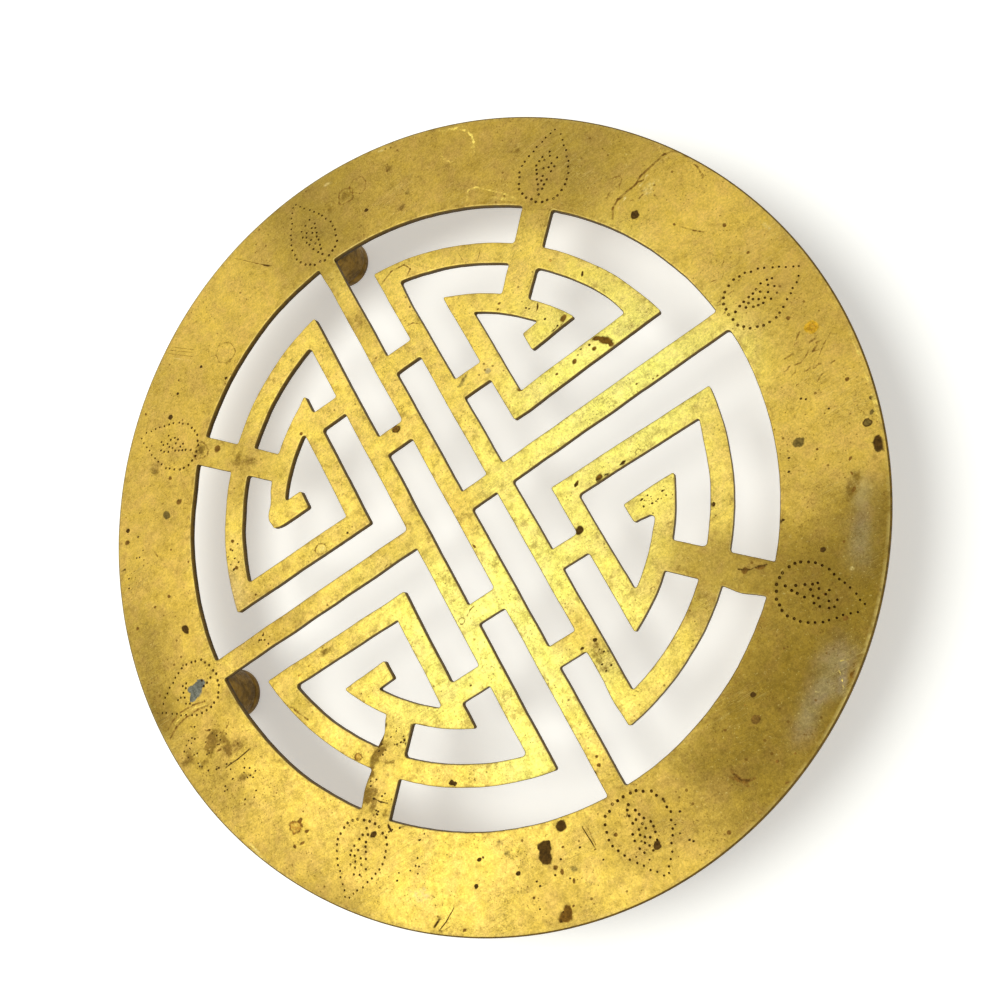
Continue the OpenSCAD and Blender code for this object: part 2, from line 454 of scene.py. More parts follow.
# Where each lies: tone, x, y, reach in mm, share. The palest zones are a painted reflection of the
# light, the bright ones partly that and partly patina; the brown zones at the front right are
# partly patina, partly the painted dark reflection of the camera
patinaAndReflectionAreas = [
    ("bright", -32, -44, 40, 0.7), ("paintedHighlight", -2, -24, 24, 0.85), ("bright", -24, -62, 26, 0.85),
    ("paintedHighlight", 34, 2, 23, 0.8), ("paintedHighlight", 43, 3, 10, 0.75), ("bright", 10, 34, 20, 0.75),
    ("bright", -12, 40, 16, 0.8), ("dull", -44, 1, 12, 0.8), ("aged", 2, 69, 17, 1.0),
    ("dull", 34, 60, 20, 0.95), ("aged", 54, 44, 15, 0.85), ("golden", -24, 66, 16, 0.9),
    ("honey", -42, 58, 13, 0.7), ("honey", -62, 36, 13, 0.7), ("golden", 60, 16, 12, 0.85),
    ("dull", 70, 2, 10, 0.7), ("golden", 70, 22, 9, 0.6), ("dull", 70, -14, 9, 0.7),
    ("golden", 60, -22, 16, 0.85), ("brown", 52, -48, 16, 1.0), ("brown", 36, -60, 17, 1.0),
    ("brown", 64, -42, 9, 0.8), ("brown", 19, -64, 11, 0.95), ("aged", 12, -66, 8, 0.6),
    ("honey", 56, -30, 9, 0.75), ("aged", 72, -28, 5, 0.6), ("aged", -74, 10, 10, 0.85),
    ("dull", -66, -12, 9, 0.6), ("dull", -73, -26, 7, 0.6), ("honey", -58, -48, 9, 0.8),
    ("dull", -36, 33, 9, 0.75), ("honey", -42, -41, 6, 0.6), ("aged", 32, -34, 8, 0.85),
    ("aged", 40, -38, 6, 0.8), ("dull", 2, -64, 10, 0.8), ("honey", -18, -69, 9, 0.8),
    ("honey", -13, 3, 8, 0.6), ("honey", 0, 41, 6, 0.8), ("bright", 34, 34, 7, 0.7),
    ("brown", -73, -1, 7, 0.9), ("aged", -70, 18, 7, 0.55), ("aged", -70, -16, 6, 0.45),
    ("dull", -62, -36, 7, 0.65), ("golden", 9, -31, 5, 0.75), ("golden", 0, 0, 6, 0.7),
    ("brown", 44, -43, 7, 0.6), ("bright", -9, 30, 7, 0.7), ("paintedHighlight", -12, -46, 7, 0.75),
    ("chalky", -48, 10, 4, 0.75), ("honey", -34, -33, 5, 0.6), ("honey", -50, -50, 6, 0.4),
]
ringBrass = (214, 180, 78)     # under the tones, on the ring and on the fret
fretBrass = (240, 210, 96)
fretToRing = (53, 60)          # mm from the middle between which the one turns into the other

# What each kind of mark looks like: tone, strength, how soft its edge is, how crusty it is
markKinds = {
    "crust": ((80, 57, 18), 0.93, 0.16, 1.0),
    "umber": ((108, 76, 22), 0.85, 0.35, 0.7),
    "tarnish": ((116, 84, 30), 0.72, 0.30, 0.5),
    "rust": ((158, 108, 36), 0.42, 0.35, 0.4),
    "amber": ((192, 150, 34), 0.55, 0.45, 0.2),
    "olive": ((138, 110, 42), 0.48, 0.55, 0.4),
    "verdigris": ((140, 122, 60), 0.42, 0.60, 0.2),
    "haze": ((156, 148, 116), 0.38, 0.90, 0.1),
    "drop": ((110, 92, 42), 0.85, 0.18, 0.5),
    "shade": ((122, 98, 38), 0.42, 0.90, 0.1),
    "pale": ((250, 232, 150), 0.34, 0.60, 0.0),
    "lime": ((228, 202, 96), 0.56, 0.45, 0.0),
    "grey": ((102, 103, 90), 0.88, 0.25, 0.3),
}
lineStrength = 0.62            # of dried rings and strokes, next to spots
ringEdge, strokeEdge = (2.0, 0.8), (1.0, 0.4)    # where a line's soft edge starts and ends
wideMark = 3                   # mm from which a mark gets more points round it
fewSides, manySides = 16, 30
strokeStep = 0.5               # spacing of points along a stroke

smoothKinds = ("haze", "shade")                # these melt into the patina
broadKinds = ("olive", "verdigris", "pale")    # and these are broken up by it

# Spots: kind, then x, y, width and length in mm and turn in degrees of each
spots = {
    "crust": [
        (-15.5, -59.5, 2.6, 2.5, 20), (-16.2, -60.9, 2.5, 2.4, -20), (-11.1, -57.7, 2.1, 1.8, 0),
        (1.9, -68.0, 1.6, 1.3, 20), (-25.2, -42.0, 1.1, 0.9, 0), (-24.7, -42.5, 0.9, 0.7, 0),
        (28.2, -55.0, 1.0, 0.9, 0),
        (66.7, -30.9, 1.8, 2.8, -20), (54.9, 27.4, 1.8, 1.6, 0), (17.2, -16.1, 1.8, 1.5, 30),
        (29.8, -10.3, 1.3, 0.8, 20), (24.6, -10.4, 1.0, 0.7, 30), (26.2, -10.4, 0.9, 0.6, -20),
        (39.1, -24.9, 1.0, 0.8, 0), (-60.6, 10.3, 1.4, 2.0, 15), (-63.4, 35.2, 1.0, 0.9, 0),
        (-44.1, 50.6, 1.3, 1.1, 0), (-29.4, 50.2, 0.8, 0.7, 0), (-40.4, 54.0, 0.7, 0.6, 0),
        (-33.2, 55.8, 0.7, 0.6, 0), (12.7, 61.8, 0.9, 0.8, 0), (-21.8, -60.9, 0.9, 0.7, 0),
        (-29.7, -59.3, 0.9, 0.8, 30), (-27.0, -55.7, 0.9, 0.6, 0), (-26.2, -55.7, 0.4, 0.4, 0),
        (-33.0, -28.4, 2.4, 0.7, 52), (-31.6, -27.0, 1.4, 0.8, 50), (-34.2, -29.4, 1.0, 0.5, 40),
        (-42.9, -42.7, 1.5, 1.0, 10), (-39.6, -43.2, 0.5, 1.5, 0), (-29.6, -31.2, 0.5, 0.6, 0),
        (-30.4, -31.2, 0.5, 0.4, 0), (-39.9, -37.3, 0.6, 0.5, 0), (32.6, 18.2, 0.7, 0.4, 20),
        (31.5, 17.9, 0.7, 0.4, 20), (31.4, 20.7, 0.5, 0.4, 0), (29.5, 24.7, 0.4, 0.4, 0),
        (29.9, 24.2, 0.4, 0.3, 0), (35.7, 11.6, 0.5, 0.5, 0), (41.9, 18.1, 0.6, 0.4, -60),
        (43.0, 15.8, 0.7, 0.4, -60), (42.4, 17.0, 0.5, 0.3, -60), (50.1, -40.9, 1.0, 0.9, 0),
        (20.8, -8.8, 0.8, 0.6, 0), (9.9, -33.9, 0.9, 0.7, 0), (7.2, -34.0, 0.8, 0.5, 0),
        (-1.4, -53.0, 0.5, 0.8, 0), (69.8, -24.0, 0.6, 0.8, 0), (-21.3, 7.9, 0.5, 0.5, 0),
        (47.2, -33.3, 1.1, 0.5, -20), (54.2, -51.2, 0.8, 1.3, -40), (41.4, 23.8, 1.2, 0.5, 50),
    ],
    "umber": [
        (38.5, 10.6, 2.7, 1.6, -40), (37.3, 11.9, 1.7, 0.9, -30), (39.2, 9.0, 1.7, 1.1, -50),
        (36.1, 10.5, 1.0, 0.8, 0), (-17.9, -70.8, 2.6, 1.9, -20), (-16.9, -69.9, 1.4, 2.0, 0),
        (43.5, -60.3, 1.6, 1.3, 20), (24.9, -10.0, 1.6, 0.9, 30), (21.0, -8.7, 1.4, 0.6, 30),
    ],
    "tarnish": [
        (34.3, 18.8, 1.7, 1.1, 20), (31.9, 10.6, 1.1, 0.8, 30), (36.9, 12.9, 0.8, 0.5, 0),
        (26.5, -58.6, 1.7, 1.4, 0), (-64.6, 33.1, 1.3, 1.0, 0), (-50.3, 33.8, 1.6, 1.2, 0),
        (-15.4, -63.1, 1.0, 0.9, 0), (-14.7, -64.2, 1.2, 0.7, 60), (-13.6, -66.4, 0.5, 1.0, -30),
        (-12.6, -60.8, 0.6, 0.4, 0), (-3.4, -63.3, 0.9, 0.7, 0), (-37.7, 38.4, 1.8, 1.5, 0),
        (47.2, -52.0, 1.1, 0.9, 0), (43.6, -60.4, 1.4, 1.0, 0), (-3.3, 19.7, 1.4, 1.3, 0),
        (-70.2, 16.2, 0.8, 0.8, 0), (-60.9, 18.1, 0.8, 0.8, 0), (-64.7, 17.9, 0.7, 0.6, 0),
        (66.5, 15.8, 0.8, 0.8, 0), (68.4, -19.2, 0.9, 0.8, 0), (66.3, -4.8, 0.8, 0.8, 0),
        (-54.9, -33.6, 1.1, 0.8, 20), (-54.7, -36.0, 1.0, 0.7, 0),
        (-58.2, -37.2, 0.8, 0.8, 0), (-56.5, -37.4, 1.3, 0.5, 0), (-21.3, -65.6, 0.6, 0.5, 0),
        (-35.2, -64.6, 0.9, 0.6, 10), (-43.4, 20.0, 0.9, 0.8, 0), (-44.5, 18.8, 0.6, 0.6, 0),
        (-45.0, 14.9, 0.8, 0.9, 0), (-43.8, 8.0, 0.5, 0.6, 0), (-17.3, -1.9, 0.6, 0.5, 0),
        (39.1, 0.5, 0.5, 0.4, 0), (42.0, -0.4, 0.5, 0.4, 0), (42.9, -0.4, 0.5, 0.5, 0),
        (21.3, -57.6, 0.6, 0.5, 0), (25.5, -69.4, 0.9, 0.6, 30), (13.4, -71.6, 0.9, 0.8, 0),
        (-2.0, -74.2, 0.6, 0.5, 0), (0.2, -50.8, 0.6, 0.5, 0), (-0.2, -52.2, 0.8, 0.8, 0),
        (-15.7, -69.8, 0.6, 0.4, 20), (-49.9, 39.3, 1.0, 0.9, 0), (-48.8, 54.6, 0.6, 0.6, 0),
        (-38.9, 56.4, 0.5, 0.5, 0), (-56.3, 26.2, 0.5, 0.5, 0), (-53.9, 21.8, 0.6, 0.5, 0),
        (-13.7, -29.2, 0.5, 0.4, 0), (28.0, 10.5, 0.7, 0.5, 0), (32.0, 10.6, 0.6, 0.5, 0),
        (58.2, -26.4, 0.5, 0.5, 0), (26.0, -65.8, 0.7, 0.5, 0), (29.1, -66.1, 0.4, 0.4, 0),
        (25.7, 28.6, 0.7, 0.5, 0), (24.9, 27.8, 0.6, 0.5, 0), (-0.9, -8.0, 0.5, 1.1, 20),
        (67.1, 9.1, 0.6, 0.6, 0), (59.6, 21.4, 0.5, 0.6, 0), (46.4, -47.0, 0.5, 0.5, 0),
        (-67.8, -30.0, 0.6, 0.6, 0), (-67.5, -31.0, 0.8, 0.5, -30), (37.8, -37.2, 1.5, 1.0, 20),
        (40.2, -38.1, 1.8, 0.8, -25), (-20.5, 30.4, 0.9, 0.7, 0), (21.0, 12.2, 1.3, 1.1, 0),
        (53.6, -41.5, 0.5, 0.5, 0), (36.4, -51.2, 0.5, 0.4, 0), (37.0, -51.3, 0.3, 0.3, 0),
        (61.7, -30.6, 1.0, 0.5, 30), (59.4, -35.2, 1.3, 0.6, 35), (60.6, -32.8, 0.4, 0.8, 0),
    ],
    "rust": [
        (-39.1, -29.4, 1.4, 1.2, 0), (-56.5, -34.3, 2.4, 2.2, 0), (37.8, 29.7, 0.8, 0.8, 0),
        (-9.2, -22.5, 0.8, 0.6, 0), (-42.6, -10.3, 1.3, 0.5, 10),
        (-40.0, -9.8, 1.2, 0.5, 0), (26.2, -55.8, 0.4, 0.4, 0),
    ],
    "amber": [
        (68.6, -8.4, 2.2, 2.0, 0),
    ],
    "drop": [
        (56.3, -23.7, 2.1, 1.8, 0), (67.1, -27.1, 1.2, 1.1, 0), (66.2, -31.6, 1.4, 1.2, 0),
        (68.6, -26.0, 1.0, 0.6, 30), (26.5, -58.6, 1.6, 1.3, 0), (-54.0, 33.0, 1.6, 2.0, 20),
    ],
    "olive": [
        (-64.0, -10.4, 4.0, 1.4, 25), (-68.3, -14.6, 4.5, 1.4, 15), (-62.6, -14.2, 1.6, 3.4, -10),
        (-70.6, -12.0, 1.2, 3.4, 5), (-40.8, -38.6, 1.6, 2.6, -40), (-39.2, -40.6, 2.0, 1.6, 0),
        (-27.5, 53.3, 2.0, 1.8, 0), (43.5, 52.3, 1.5, 1.4, 0), (-41.2, 40.2, 3.2, 3.0, 0),
        (6.5, 67.5, 2.4, 2.2, 0), (10.6, 67.3, 3.2, 3.0, 0), (-37.0, -44.2, 1.4, 1.2, 0),
        (-36.0, -9.3, 4.0, 1.6, 0),
        (-72.0, -12.5, 3.0, 2.0, 20), (-64.0, -12.0, 6.0, 3.0, 10), (-62.0, -21.0, 3.0, 1.6, 0),
        (21.5, 59.5, 1.3, 1.2, 0), (20.8, 66.5, 2.2, 1.6, 20), (18.8, 57.5, 2.2, 1.6, 0),
        (0.6, 43.0, 1.6, 4.0, 10), (-34.0, 33.0, 4.0, 6.5, 40), (-39.5, -36.5, 3.0, 3.6, -40),
        (60.0, -34.5, 6.0, 3.0, 40),
        (-52.0, 43.0, 3.4, 2.6, 30), (-66.0, -12.6, 3.6, 2.0, 20),
        (-61.0, -15.5, 7.0, 3.0, 0), (9.3, -36.8, 3.0, 6.0, 0),
    ],
    "verdigris": [
        (-21.7, -55.0, 1.8, 1.0, -20), (-11.4, -68.0, 2.6, 1.8, 20),
        (-15.4, 44.8, 0.8, 0.8, 0), (12.5, 20.0, 3.0, 1.0, 25), (17.5, 18.6, 1.4, 1.0, 0),
        (-68.0, 16.0, 1.0, 1.0, 0), (-12.6, -64.8, 1.5, 1.3, 0),
    ],
    "haze": [
        (42.5, -57.0, 6.5, 4.2, 20), (34.0, -62.0, 8.5, 3.0, 38), (39.0, -60.0, 4.0, 3.5, 0),
        (56.0, -42.5, 3.4, 8.0, -35), (60.0, -36.0, 3.0, 5.0, -30),
    ],
    "shade": [
        (57.3, -40.3, 2.2, 3.4, -20), (19.8, -65.2, 4.2, 2.8, 15), (-66.0, -22.0, 6.0, 10.0, 15),
        (-57.0, -6.5, 7.0, 3.0, 20),
        (-45.5, -16.0, 3.0, 8.0, 15), (-56.0, -50.0, 5.0, 14.0, 40),
    ],
    "pale": [
        (52.3, -45.8, 1.5, 1.3, 0), (8.3, 72.2, 2.8, 1.0, -15), (-66.0, -33.6, 1.0, 5.0, 18),
        (-64.2, -37.5, 1.0, 4.6, 24), (-44.5, -60.6, 8.0, 2.0, -36),
        (72.0, 11.5, 1.0, 5.0, 10), (-27.5, 8.2, 2.6, 2.4, 0), (17.5, 18.8, 1.2, 1.0, 0),
        (60.0, 29.8, 8.0, 3.0, 5), (-40.0, -56.0, 6.0, 4.0, -30), (22.0, 70.5, 4.0, 0.8, -18),
    ],
    "grey": [
        (-63.8, -1.4, 3.0, 2.8, 20), (-62.4, -0.8, 2.2, 1.6, -20), (-64.9, -0.6, 1.4, 1.2, 20),
        (-65.0, -2.3, 1.9, 1.5, 30),
    ],
}

# Dried rings: x, y, width, length, turn, thickness of the line, kind
driedRings = [
    (34.5, 61.5, 6.8, 8.0, 0, 0.4, "lime"), (10.6, 67.3, 3.4, 3.2, 0, 0.3, "tarnish"),
    (13.8, 67.5, 3.6, 3.4, 0, 0.25, "tarnish"), (6.5, 67.5, 2.6, 2.4, 0, 0.25, "tarnish"),
    (-41.2, 40.2, 3.4, 3.2, 0, 0.35, "tarnish"), (-27.0, 55.0, 4.4, 4.2, 0, 0.3, "tarnish"),
    (-27.5, 8.2, 2.4, 2.2, 0, 0.3, "tarnish"), (-9.6, -18.4, 1.2, 1.1, 0, 0.2, "tarnish"),
    (68.6, -8.4, 1.1, 1.0, 0, 0.25, "rust"), (68.6, -8.4, 2.1, 2.0, 0, 0.35, "amber"),
    (33.1, -10.1, 1.1, 1.0, 0, 0.2, "tarnish"),
    (-34.5, -34.1, 2.5, 2.3, 0, 0.5, "olive"), (-33.8, -32.5, 1.9, 1.8, 0, 0.45, "olive"),
    (-56.5, -34.3, 2.5, 2.4, 0, 0.35, "tarnish"),
    (-3.3, 19.7, 1.6, 1.5, 0, 0.25, "crust"),
    (67.1, -27.1, 1.3, 1.2, 0, 0.2, "crust"),
    (23.0, -31.9, 1.0, 1.0, 0, 0.15, "tarnish"), (52.3, -45.8, 2.2, 1.9, 0, 0.15, "olive"),
    (-39.1, -29.4, 1.6, 1.3, 0, 0.25, "tarnish"),
]

# Strokes: kind, thickness in mm, then the points that it passes
strokes = [
    ("tarnish", 0.35, (51.2, 29.2), (52.3, 31), (54, 31.9), (58, 32.2), (59.5, 33), (65, 33.8),
     (66.8, 33), (67.8, 31), (68.4, 28.5), (68.3, 26)),
    ("pale", 0.35, (51.9, 28.8), (53.0, 30.3), (55, 31.2), (58.5, 31.5), (60.5, 32.3),
     (65, 33.0), (66.5, 31.5)),
    ("tarnish", 0.5, (18.8, -63.5), (19.1, -64.9), (20.0, -66.1), (21.5, -66.3)),
    ("tarnish", 0.35, (18.0, -64.2), (18.9, -65.4), (19.9, -66.9)),
    ("crust", 0.2, (18.9, -64.3), (19.4, -65.5), (20.4, -66.2)),
    ("crust", 0.3, (-41.0, -62.1), (-39.6, -61.5), (-38.6, -61.0)),
    ("crust", 0.16, (-40.0, -62.8), (-37.6, -61.9), (-35.3, -60.6)),
    ("tarnish", 0.14, (-39.2, -63.0), (-37.2, -62.9)),
    ("crust", 0.16, (-7.9, -59.8), (-7.6, -63.8)), ("tarnish", 0.14, (-7.1, -60.0), (-7.3, -63.2)),
    ("tarnish", 0.16, (-16.0, 71.5), (-12.5, 67.5), (-10.4, 65.3)),
    ("crust", 0.3, (-11.2, 66.0), (-10.4, 65.2)),
    ("tarnish", 0.28, (8, 46.5), (11, 47.5), (13.8, 47), (14.5, 45.5), (13, 44.5)),
    ("tarnish", 0.2, (8, 36), (9.6, 35.8), (10.5, 35)),
    ("tarnish", 0.18, (26.4, 38.5), (27.6, 39.6)), ("tarnish", 0.16, (24, 40.4), (24, 41.6)),
    ("lime", 0.3, (30.4, 50.1), (31.8, 51.8), (33.4, 51.3), (35.3, 49.0), (37.3, 46.4),
     (38.6, 44.3)),
    ("lime", 0.45, (35.0, 47.4), (36.4, 45.9), (38.3, 44.0)),
    # a painted highlight along the rim's rounding at the front right
    ("lime", 0.6, (73.1, -12.5), (72.3, -16.7), (71.2, -20.7), (70.0, -24.7), (68.8, -27.8)),
    ("lime", 0.35, (33.0, 66.2), (35.4, 64.9), (37.2, 62.9), (37.9, 61.0), (37.6, 59.5),
     (36.6, 57.7)),
    ("lime", 0.6, (-66.7, -31.7), (-66.2, -33.4), (-65.7, -35.3), (-65.2, -36.7)),
    ("lime", 0.2, (42.0, -58.3), (41.5, -60.0), (40.4, -62.2)),
    ("lime", 0.2, (42.9, -57.3), (44.3, -57.8)),
    ("tarnish", 0.14, (70.3, -11.1), (68.6, -12.0), (67.1, -13.1)),
    ("crust", 0.25, (31.7, 24.2), (31.2, 23.2)),
    ("crust", 0.2, (-64.5, -17.6), (-61.5, -17.5), (-58.5, -17.1)),
    ("tarnish", 0.35, (-62.5, -5.4), (-65.2, -4.9), (-68.0, -4.9), (-70.9, -5.5), (-73.1, -6.7)),
    ("tarnish", 0.3, (-63.0, -4.3), (-65.7, -3.6), (-68.7, -3.5), (-71.0, -4.0), (-72.8, -5.0)),
    ("lime", 0.3, (-62.9, -5.0), (-65.4, -4.3), (-68.3, -4.2), (-71.0, -4.8)),
    ("pale", 0.3, (-68.8, -10.5), (-69.3, -12.5), (-69.5, -14.5)),
    ("tarnish", 0.3, (-59.8, 27.8), (-59.6, 26.6)),
    ("tarnish", 0.3, (-48, -13), (-46.6, -15.5), (-45, -18.5)),
    ("tarnish", 0.25, (60.5, 20), (61.8, 18.2), (63, 17)),
    ("tarnish", 0.2, (30.8, 23.0), (32.0, 24.0)),
    ("tarnish", 0.2, (-8.3, -18.2), (-7.2, -17.5), (-6.2, -17.3)),
    ("verdigris", 0.3, (9, 18.6), (11, 19.6), (13, 18.8), (15.4, 19.4)),
    ("verdigris", 0.25, (13.5, 20.6), (16, 21.2), (19.5, 20.6)),
    ("crust", 0.3, (-27.1, -29.6), (-28.3, -30.9), (-29.3, -32.4), (-30.2, -33.3)),
    ("olive", 1.5, (-31.7, -27.5), (-33.8, -30.0), (-35.8, -30.9), (-38.4, -33.0),
     (-41.3, -36.5), (-43.4, -39.0)),
    ("olive", 0.8, (-34.6, -30.4), (-36.4, -31.2), (-39.0, -33.4), (-41.6, -36.4)),
    ("verdigris", 0.9, (-22.6, -54.9), (-22.0, -57.0), (-21.5, -59.6)),
    ("tarnish", 0.3, (-27.0, -29.6), (-25.4, -30.4), (-24.0, -31.6)),
    ("crust", 0.2, (-39.9, -37.2), (-39.0, -38.4), (-37.9, -39.2)),
    ("crust", 0.2, (36.9, -36.4), (38.4, -37.4), (40.0, -37.8), (41.3, -38.2)),
    ("haze", 0.9, (43.0, -58.0), (41.6, -60.0), (40.5, -61.5)),
    ("tarnish", 0.12, (-39, 63.5), (-34, 59)), ("tarnish", 0.12, (-38.2, 63.7), (-33.6, 59.8)),
    ("pale", 0.12, (-39.6, 63.0), (-34.8, 58.6)), ("tarnish", 0.12, (-37.6, 64.2), (-33.0, 60.0)),
    ("pale", 0.12, (-38.8, 62.2), (-35.0, 58.8)),
    ("tarnish", 0.14, (9.9, -48.8), (10.3, -50.2)),
    ("pale", 0.12, (68.0, -11.0), (72.5, -13.6)), ("pale", 0.12, (68.4, -12.2), (72.4, -14.4)),
]

# Places peppered with small specks: x, y, reach, number of them
peppered = [
    (31.0, -18.6, 3.4, 26), (-30.3, -30.2, 1.8, 13), (-34.3, -30.6, 1.5, 12),
    (-38.6, -33.8, 1.8, 12), (-66.5, -11.8, 5.2, 44), (-39.0, -39.4, 2.4, 20),
    (-62.5, -21.0, 4.5, 26), (-47, -1, 2.2, 12), (-66, 30, 6, 22), (56, -20, 8, 16),
    (-14, -66, 8, 18), (8.6, -38.0, 3.0, 16), (-43.5, 16.5, 3.0, 14), (33.5, 14.5, 3.5, 14),
    (2, -66, 7, 12), (-40, -48, 6, 14),
]
speckSize = (0.22, 0.5)
darkSpecks = 0.6               # share of them that are crust, the rest is tarnish
# Places with short dashes, all leaning one way: x, y, reach, number of them
dashed = [(64.5, -12.5, 4.6, 17), (60.0, 6.0, 5.0, 10), (56.0, 33.0, 4.0, 9), (-64, -12, 4, 12)]
dashLength = (0.4, 1.1)


def scattered(places, seed):
    # seeded random points within each place, each with two numbers from 0 to 1
    dice = random.Random(seed)
    for x, y, reach, count in places:
        for _ in range(count):
            away, a = reach * math.sqrt(dice.random()), dice.uniform(0, 2 * math.pi)
            yield x + away * math.cos(a), y + away * math.sin(a), dice.random(), dice.random()


def spotOutline(angle, seed):
    # how far a spot's edge lies out, as a share of its size
    return 1 + 0.26 * waveRound(angle, 1.3, seed) + 0.12 * waveRound(angle, 3.5, seed + 9)


def allSpots():
    for kind, listed in spots.items():
        for x, y, width, length, turn in listed:
            yield kind, x, y, width, length, turn, 0.0
    for x, y, width, length, turn, line, kind in driedRings:
        yield kind, x, y, width, length, turn, line
    for x, y, share, _ in scattered(peppered, 12):
        size = speckSize[0] + share * (speckSize[1] - speckSize[0])
        kind = "crust" if share > 1 - darkSpecks else "tarnish"
        yield kind, x, y, size, 0.8 * size, 0, 0.0


def strokePieces():
    for x, y, share, lean in scattered(dashed, 21):
        reach = dashLength[0] + share * (dashLength[1] - dashLength[0])
        yield "tarnish", 0.16 + 0.12 * share, (x, y), (x + reach, y + 1.3 * reach * (lean - 0.4))
    for kind, thick, *path in strokes:
        for a, b in zip(path, path[1:]):
            yield kind, thick, a, b


def markPoints():
    # extra points on the face, so that each mark keeps a crisp edge
    points = []
    for kind, x, y, width, length, turn, line in allSpots():
        softness = markKinds[kind][2]
        sides = manySides if max(width, length) >= wideMark else fewSides
        size = (width + length) / 4
        if line:
            edge = line / 2 / size
            shares = [1 + k * edge for k in (-2.2, -0.9, 0.9, 2.2)]
        else:
            shares = [0.45, 1 - softness, 1 + softness, 1.5] if softness < 0.5 else [0.4, 0.9, 1.4]
        t = math.radians(turn)
        for share in shares:
            for i in range(sides):
                a = 2 * math.pi * (i + 0.5 * (shares.index(share) % 2)) / sides
                reach = share * spotOutline(a, x + y)
                u, v = reach * width / 2 * math.cos(a), reach * length / 2 * math.sin(a)
                points.append((x + u * math.cos(t) - v * math.sin(t),
                               y + u * math.sin(t) + v * math.cos(t)))
        if not line:
            points.append((x, y))
    for kind, thick, a, b in strokePieces():
        reach = math.dist(a, b)
        along = ((b[0] - a[0]) / reach, (b[1] - a[1]) / reach)
        steps = max(1, round(reach / strokeStep))
        for i in range(steps + 1):
            x = a[0] + (b[0] - a[0]) * i / steps
            y = a[1] + (b[1] - a[1]) * i / steps
            for side in (-1.1, -0.45, 0, 0.45, 1.1):
                points.append((x - along[1] * thick * side, y + along[0] * thick * side))
    return points


def patinaAndReflectionTone(xy):
    # the broad tone of the face at each point, its painted reflections included
    bend = np.array([(wave(a, b, 14, 2.5), wave(a, b, 14, 8.5)) for a, b in xy])
    x, y = (xy + 4 * bend).T
    onRing = softStep(np.hypot(x, y), *fretToRing)[:, None]
    colour = onRing * tone(*ringBrass) + (1 - onRing) * tone(*fretBrass)
    for kind, tx, ty, reach, share in patinaAndReflectionAreas:
        lay = share * np.exp(-(((x - tx) ** 2 + (y - ty) ** 2) / reach ** 2) ** 1.4)[:, None]
        colour = colour * (1 - lay) + lay * tone(*patinaAndReflectionTones[kind])
    colour[:, :3] *= brass["depth"]
    return colour


def faceLooks(xy):
    # the tone, the broad stains and the crisp marks, as colours whose alpha is the cover
    x, y = xy[:, 0], xy[:, 1]
    base = patinaAndReflectionTone(xy)
    layers = {"stain": base.copy(), "mark": base.copy()}
    for layer in layers.values():
        layer[:, 3] = 0
    crust = np.zeros(len(xy))

    def lay(kind, share):
        tint, strength, _, crusty = markKinds[kind]
        share = (share * strength)[:, None]
        if kind in smoothKinds:
            base[:, :3] += share * (np.array(tone(*tint)[:3]) - base[:, :3])
            return
        layer = layers["stain" if kind in broadKinds else "mark"]
        under = layer[:, 3:]
        cover = share + under * (1 - share)
        weight = np.divide(share, cover, out=np.zeros_like(share), where=cover > 1e-4)
        touched = share[:, 0] > 0.001
        blended = layer[:, :3] * (1 - weight) + weight * tone(*tint)[:3]
        layer[touched, :3] = blended[touched]
        layer[touched, 3:] = cover[touched]
        crust[:] = np.maximum(crust, share[:, 0] * crusty)

    order = list(markKinds)[::-1]
    for kind, sx, sy, width, length, turn, line in sorted(
            allSpots(), key=lambda spot: order.index(spot[0])):
        softness = markKinds[kind][2]
        t = math.radians(turn)
        reach = 1.6 * max(width, length)
        near = (abs(x - sx) < reach) & (abs(y - sy) < reach)
        dx, dy = x[near] - sx, y[near] - sy
        u = (dx * math.cos(t) + dy * math.sin(t)) / (width / 2)
        v = (-dx * math.sin(t) + dy * math.cos(t)) / (length / 2)
        outline = np.array([spotOutline(a, sx + sy) for a in np.arctan2(v, u)])
        out = np.hypot(u, v) / outline
        share = np.zeros(len(x))
        if line:
            edge = line / 2 / ((width + length) / 4)
            share[near] = softStep(abs(out - 1), *(k * edge for k in ringEdge))
        else:
            share[near] = softStep(out, 1 + softness, 1 - softness)
        lay(kind, share * (lineStrength if line else 1))
    for kind, thick, a, b in strokePieces():
        span = np.array(b) - np.array(a)
        along = np.clip(((x - a[0]) * span[0] + (y - a[1]) * span[1]) / (span @ span), 0, 1)
        away = np.hypot(x - a[0] - along * span[0], y - a[1] - along * span[1])
        lay(kind, lineStrength * softStep(away, *(k * thick for k in strokeEdge)))
    return base, layers["stain"], layers["mark"], crust


# Making the plate's mesh

filed = [filedLoop(loop) for loop in cadTopLoops() if not isRim(loop)]
loops = [points for points, share in filed]
print("sawn openings:", len(loops))


def nearEdge(points):
    # 1 at a sawn edge or the rim, 0 from a little way in
    edges = treeOf([p for loop in loops + [rimLoop()] for p in loop])
    return softStep(np.array([awayFrom(edges, p) for p in points]), *grimeReach)


def insideMetal(points):
    # even-odd test against the openings
    inside = np.hypot(points[:, 0], points[:, 1]) < plate["rim"]
    for loop in loops:
        xy = np.array(loop)
        nxt = np.roll(xy, -1, 0)
        box = ((points > xy.min(0)) & (points < xy.max(0))).all(1)
        for i in np.nonzero(box)[0]:
            x, y = points[i]
            crosses = (xy[:, 1] > y) != (nxt[:, 1] > y)
            at = xy[crosses, 0] + (y - xy[crosses, 1]) * (
                nxt[crosses, 0] - xy[crosses, 0]) / (nxt[crosses, 1] - xy[crosses, 1])
            if (at > x).sum() % 2:
                inside[i] = False
    return inside


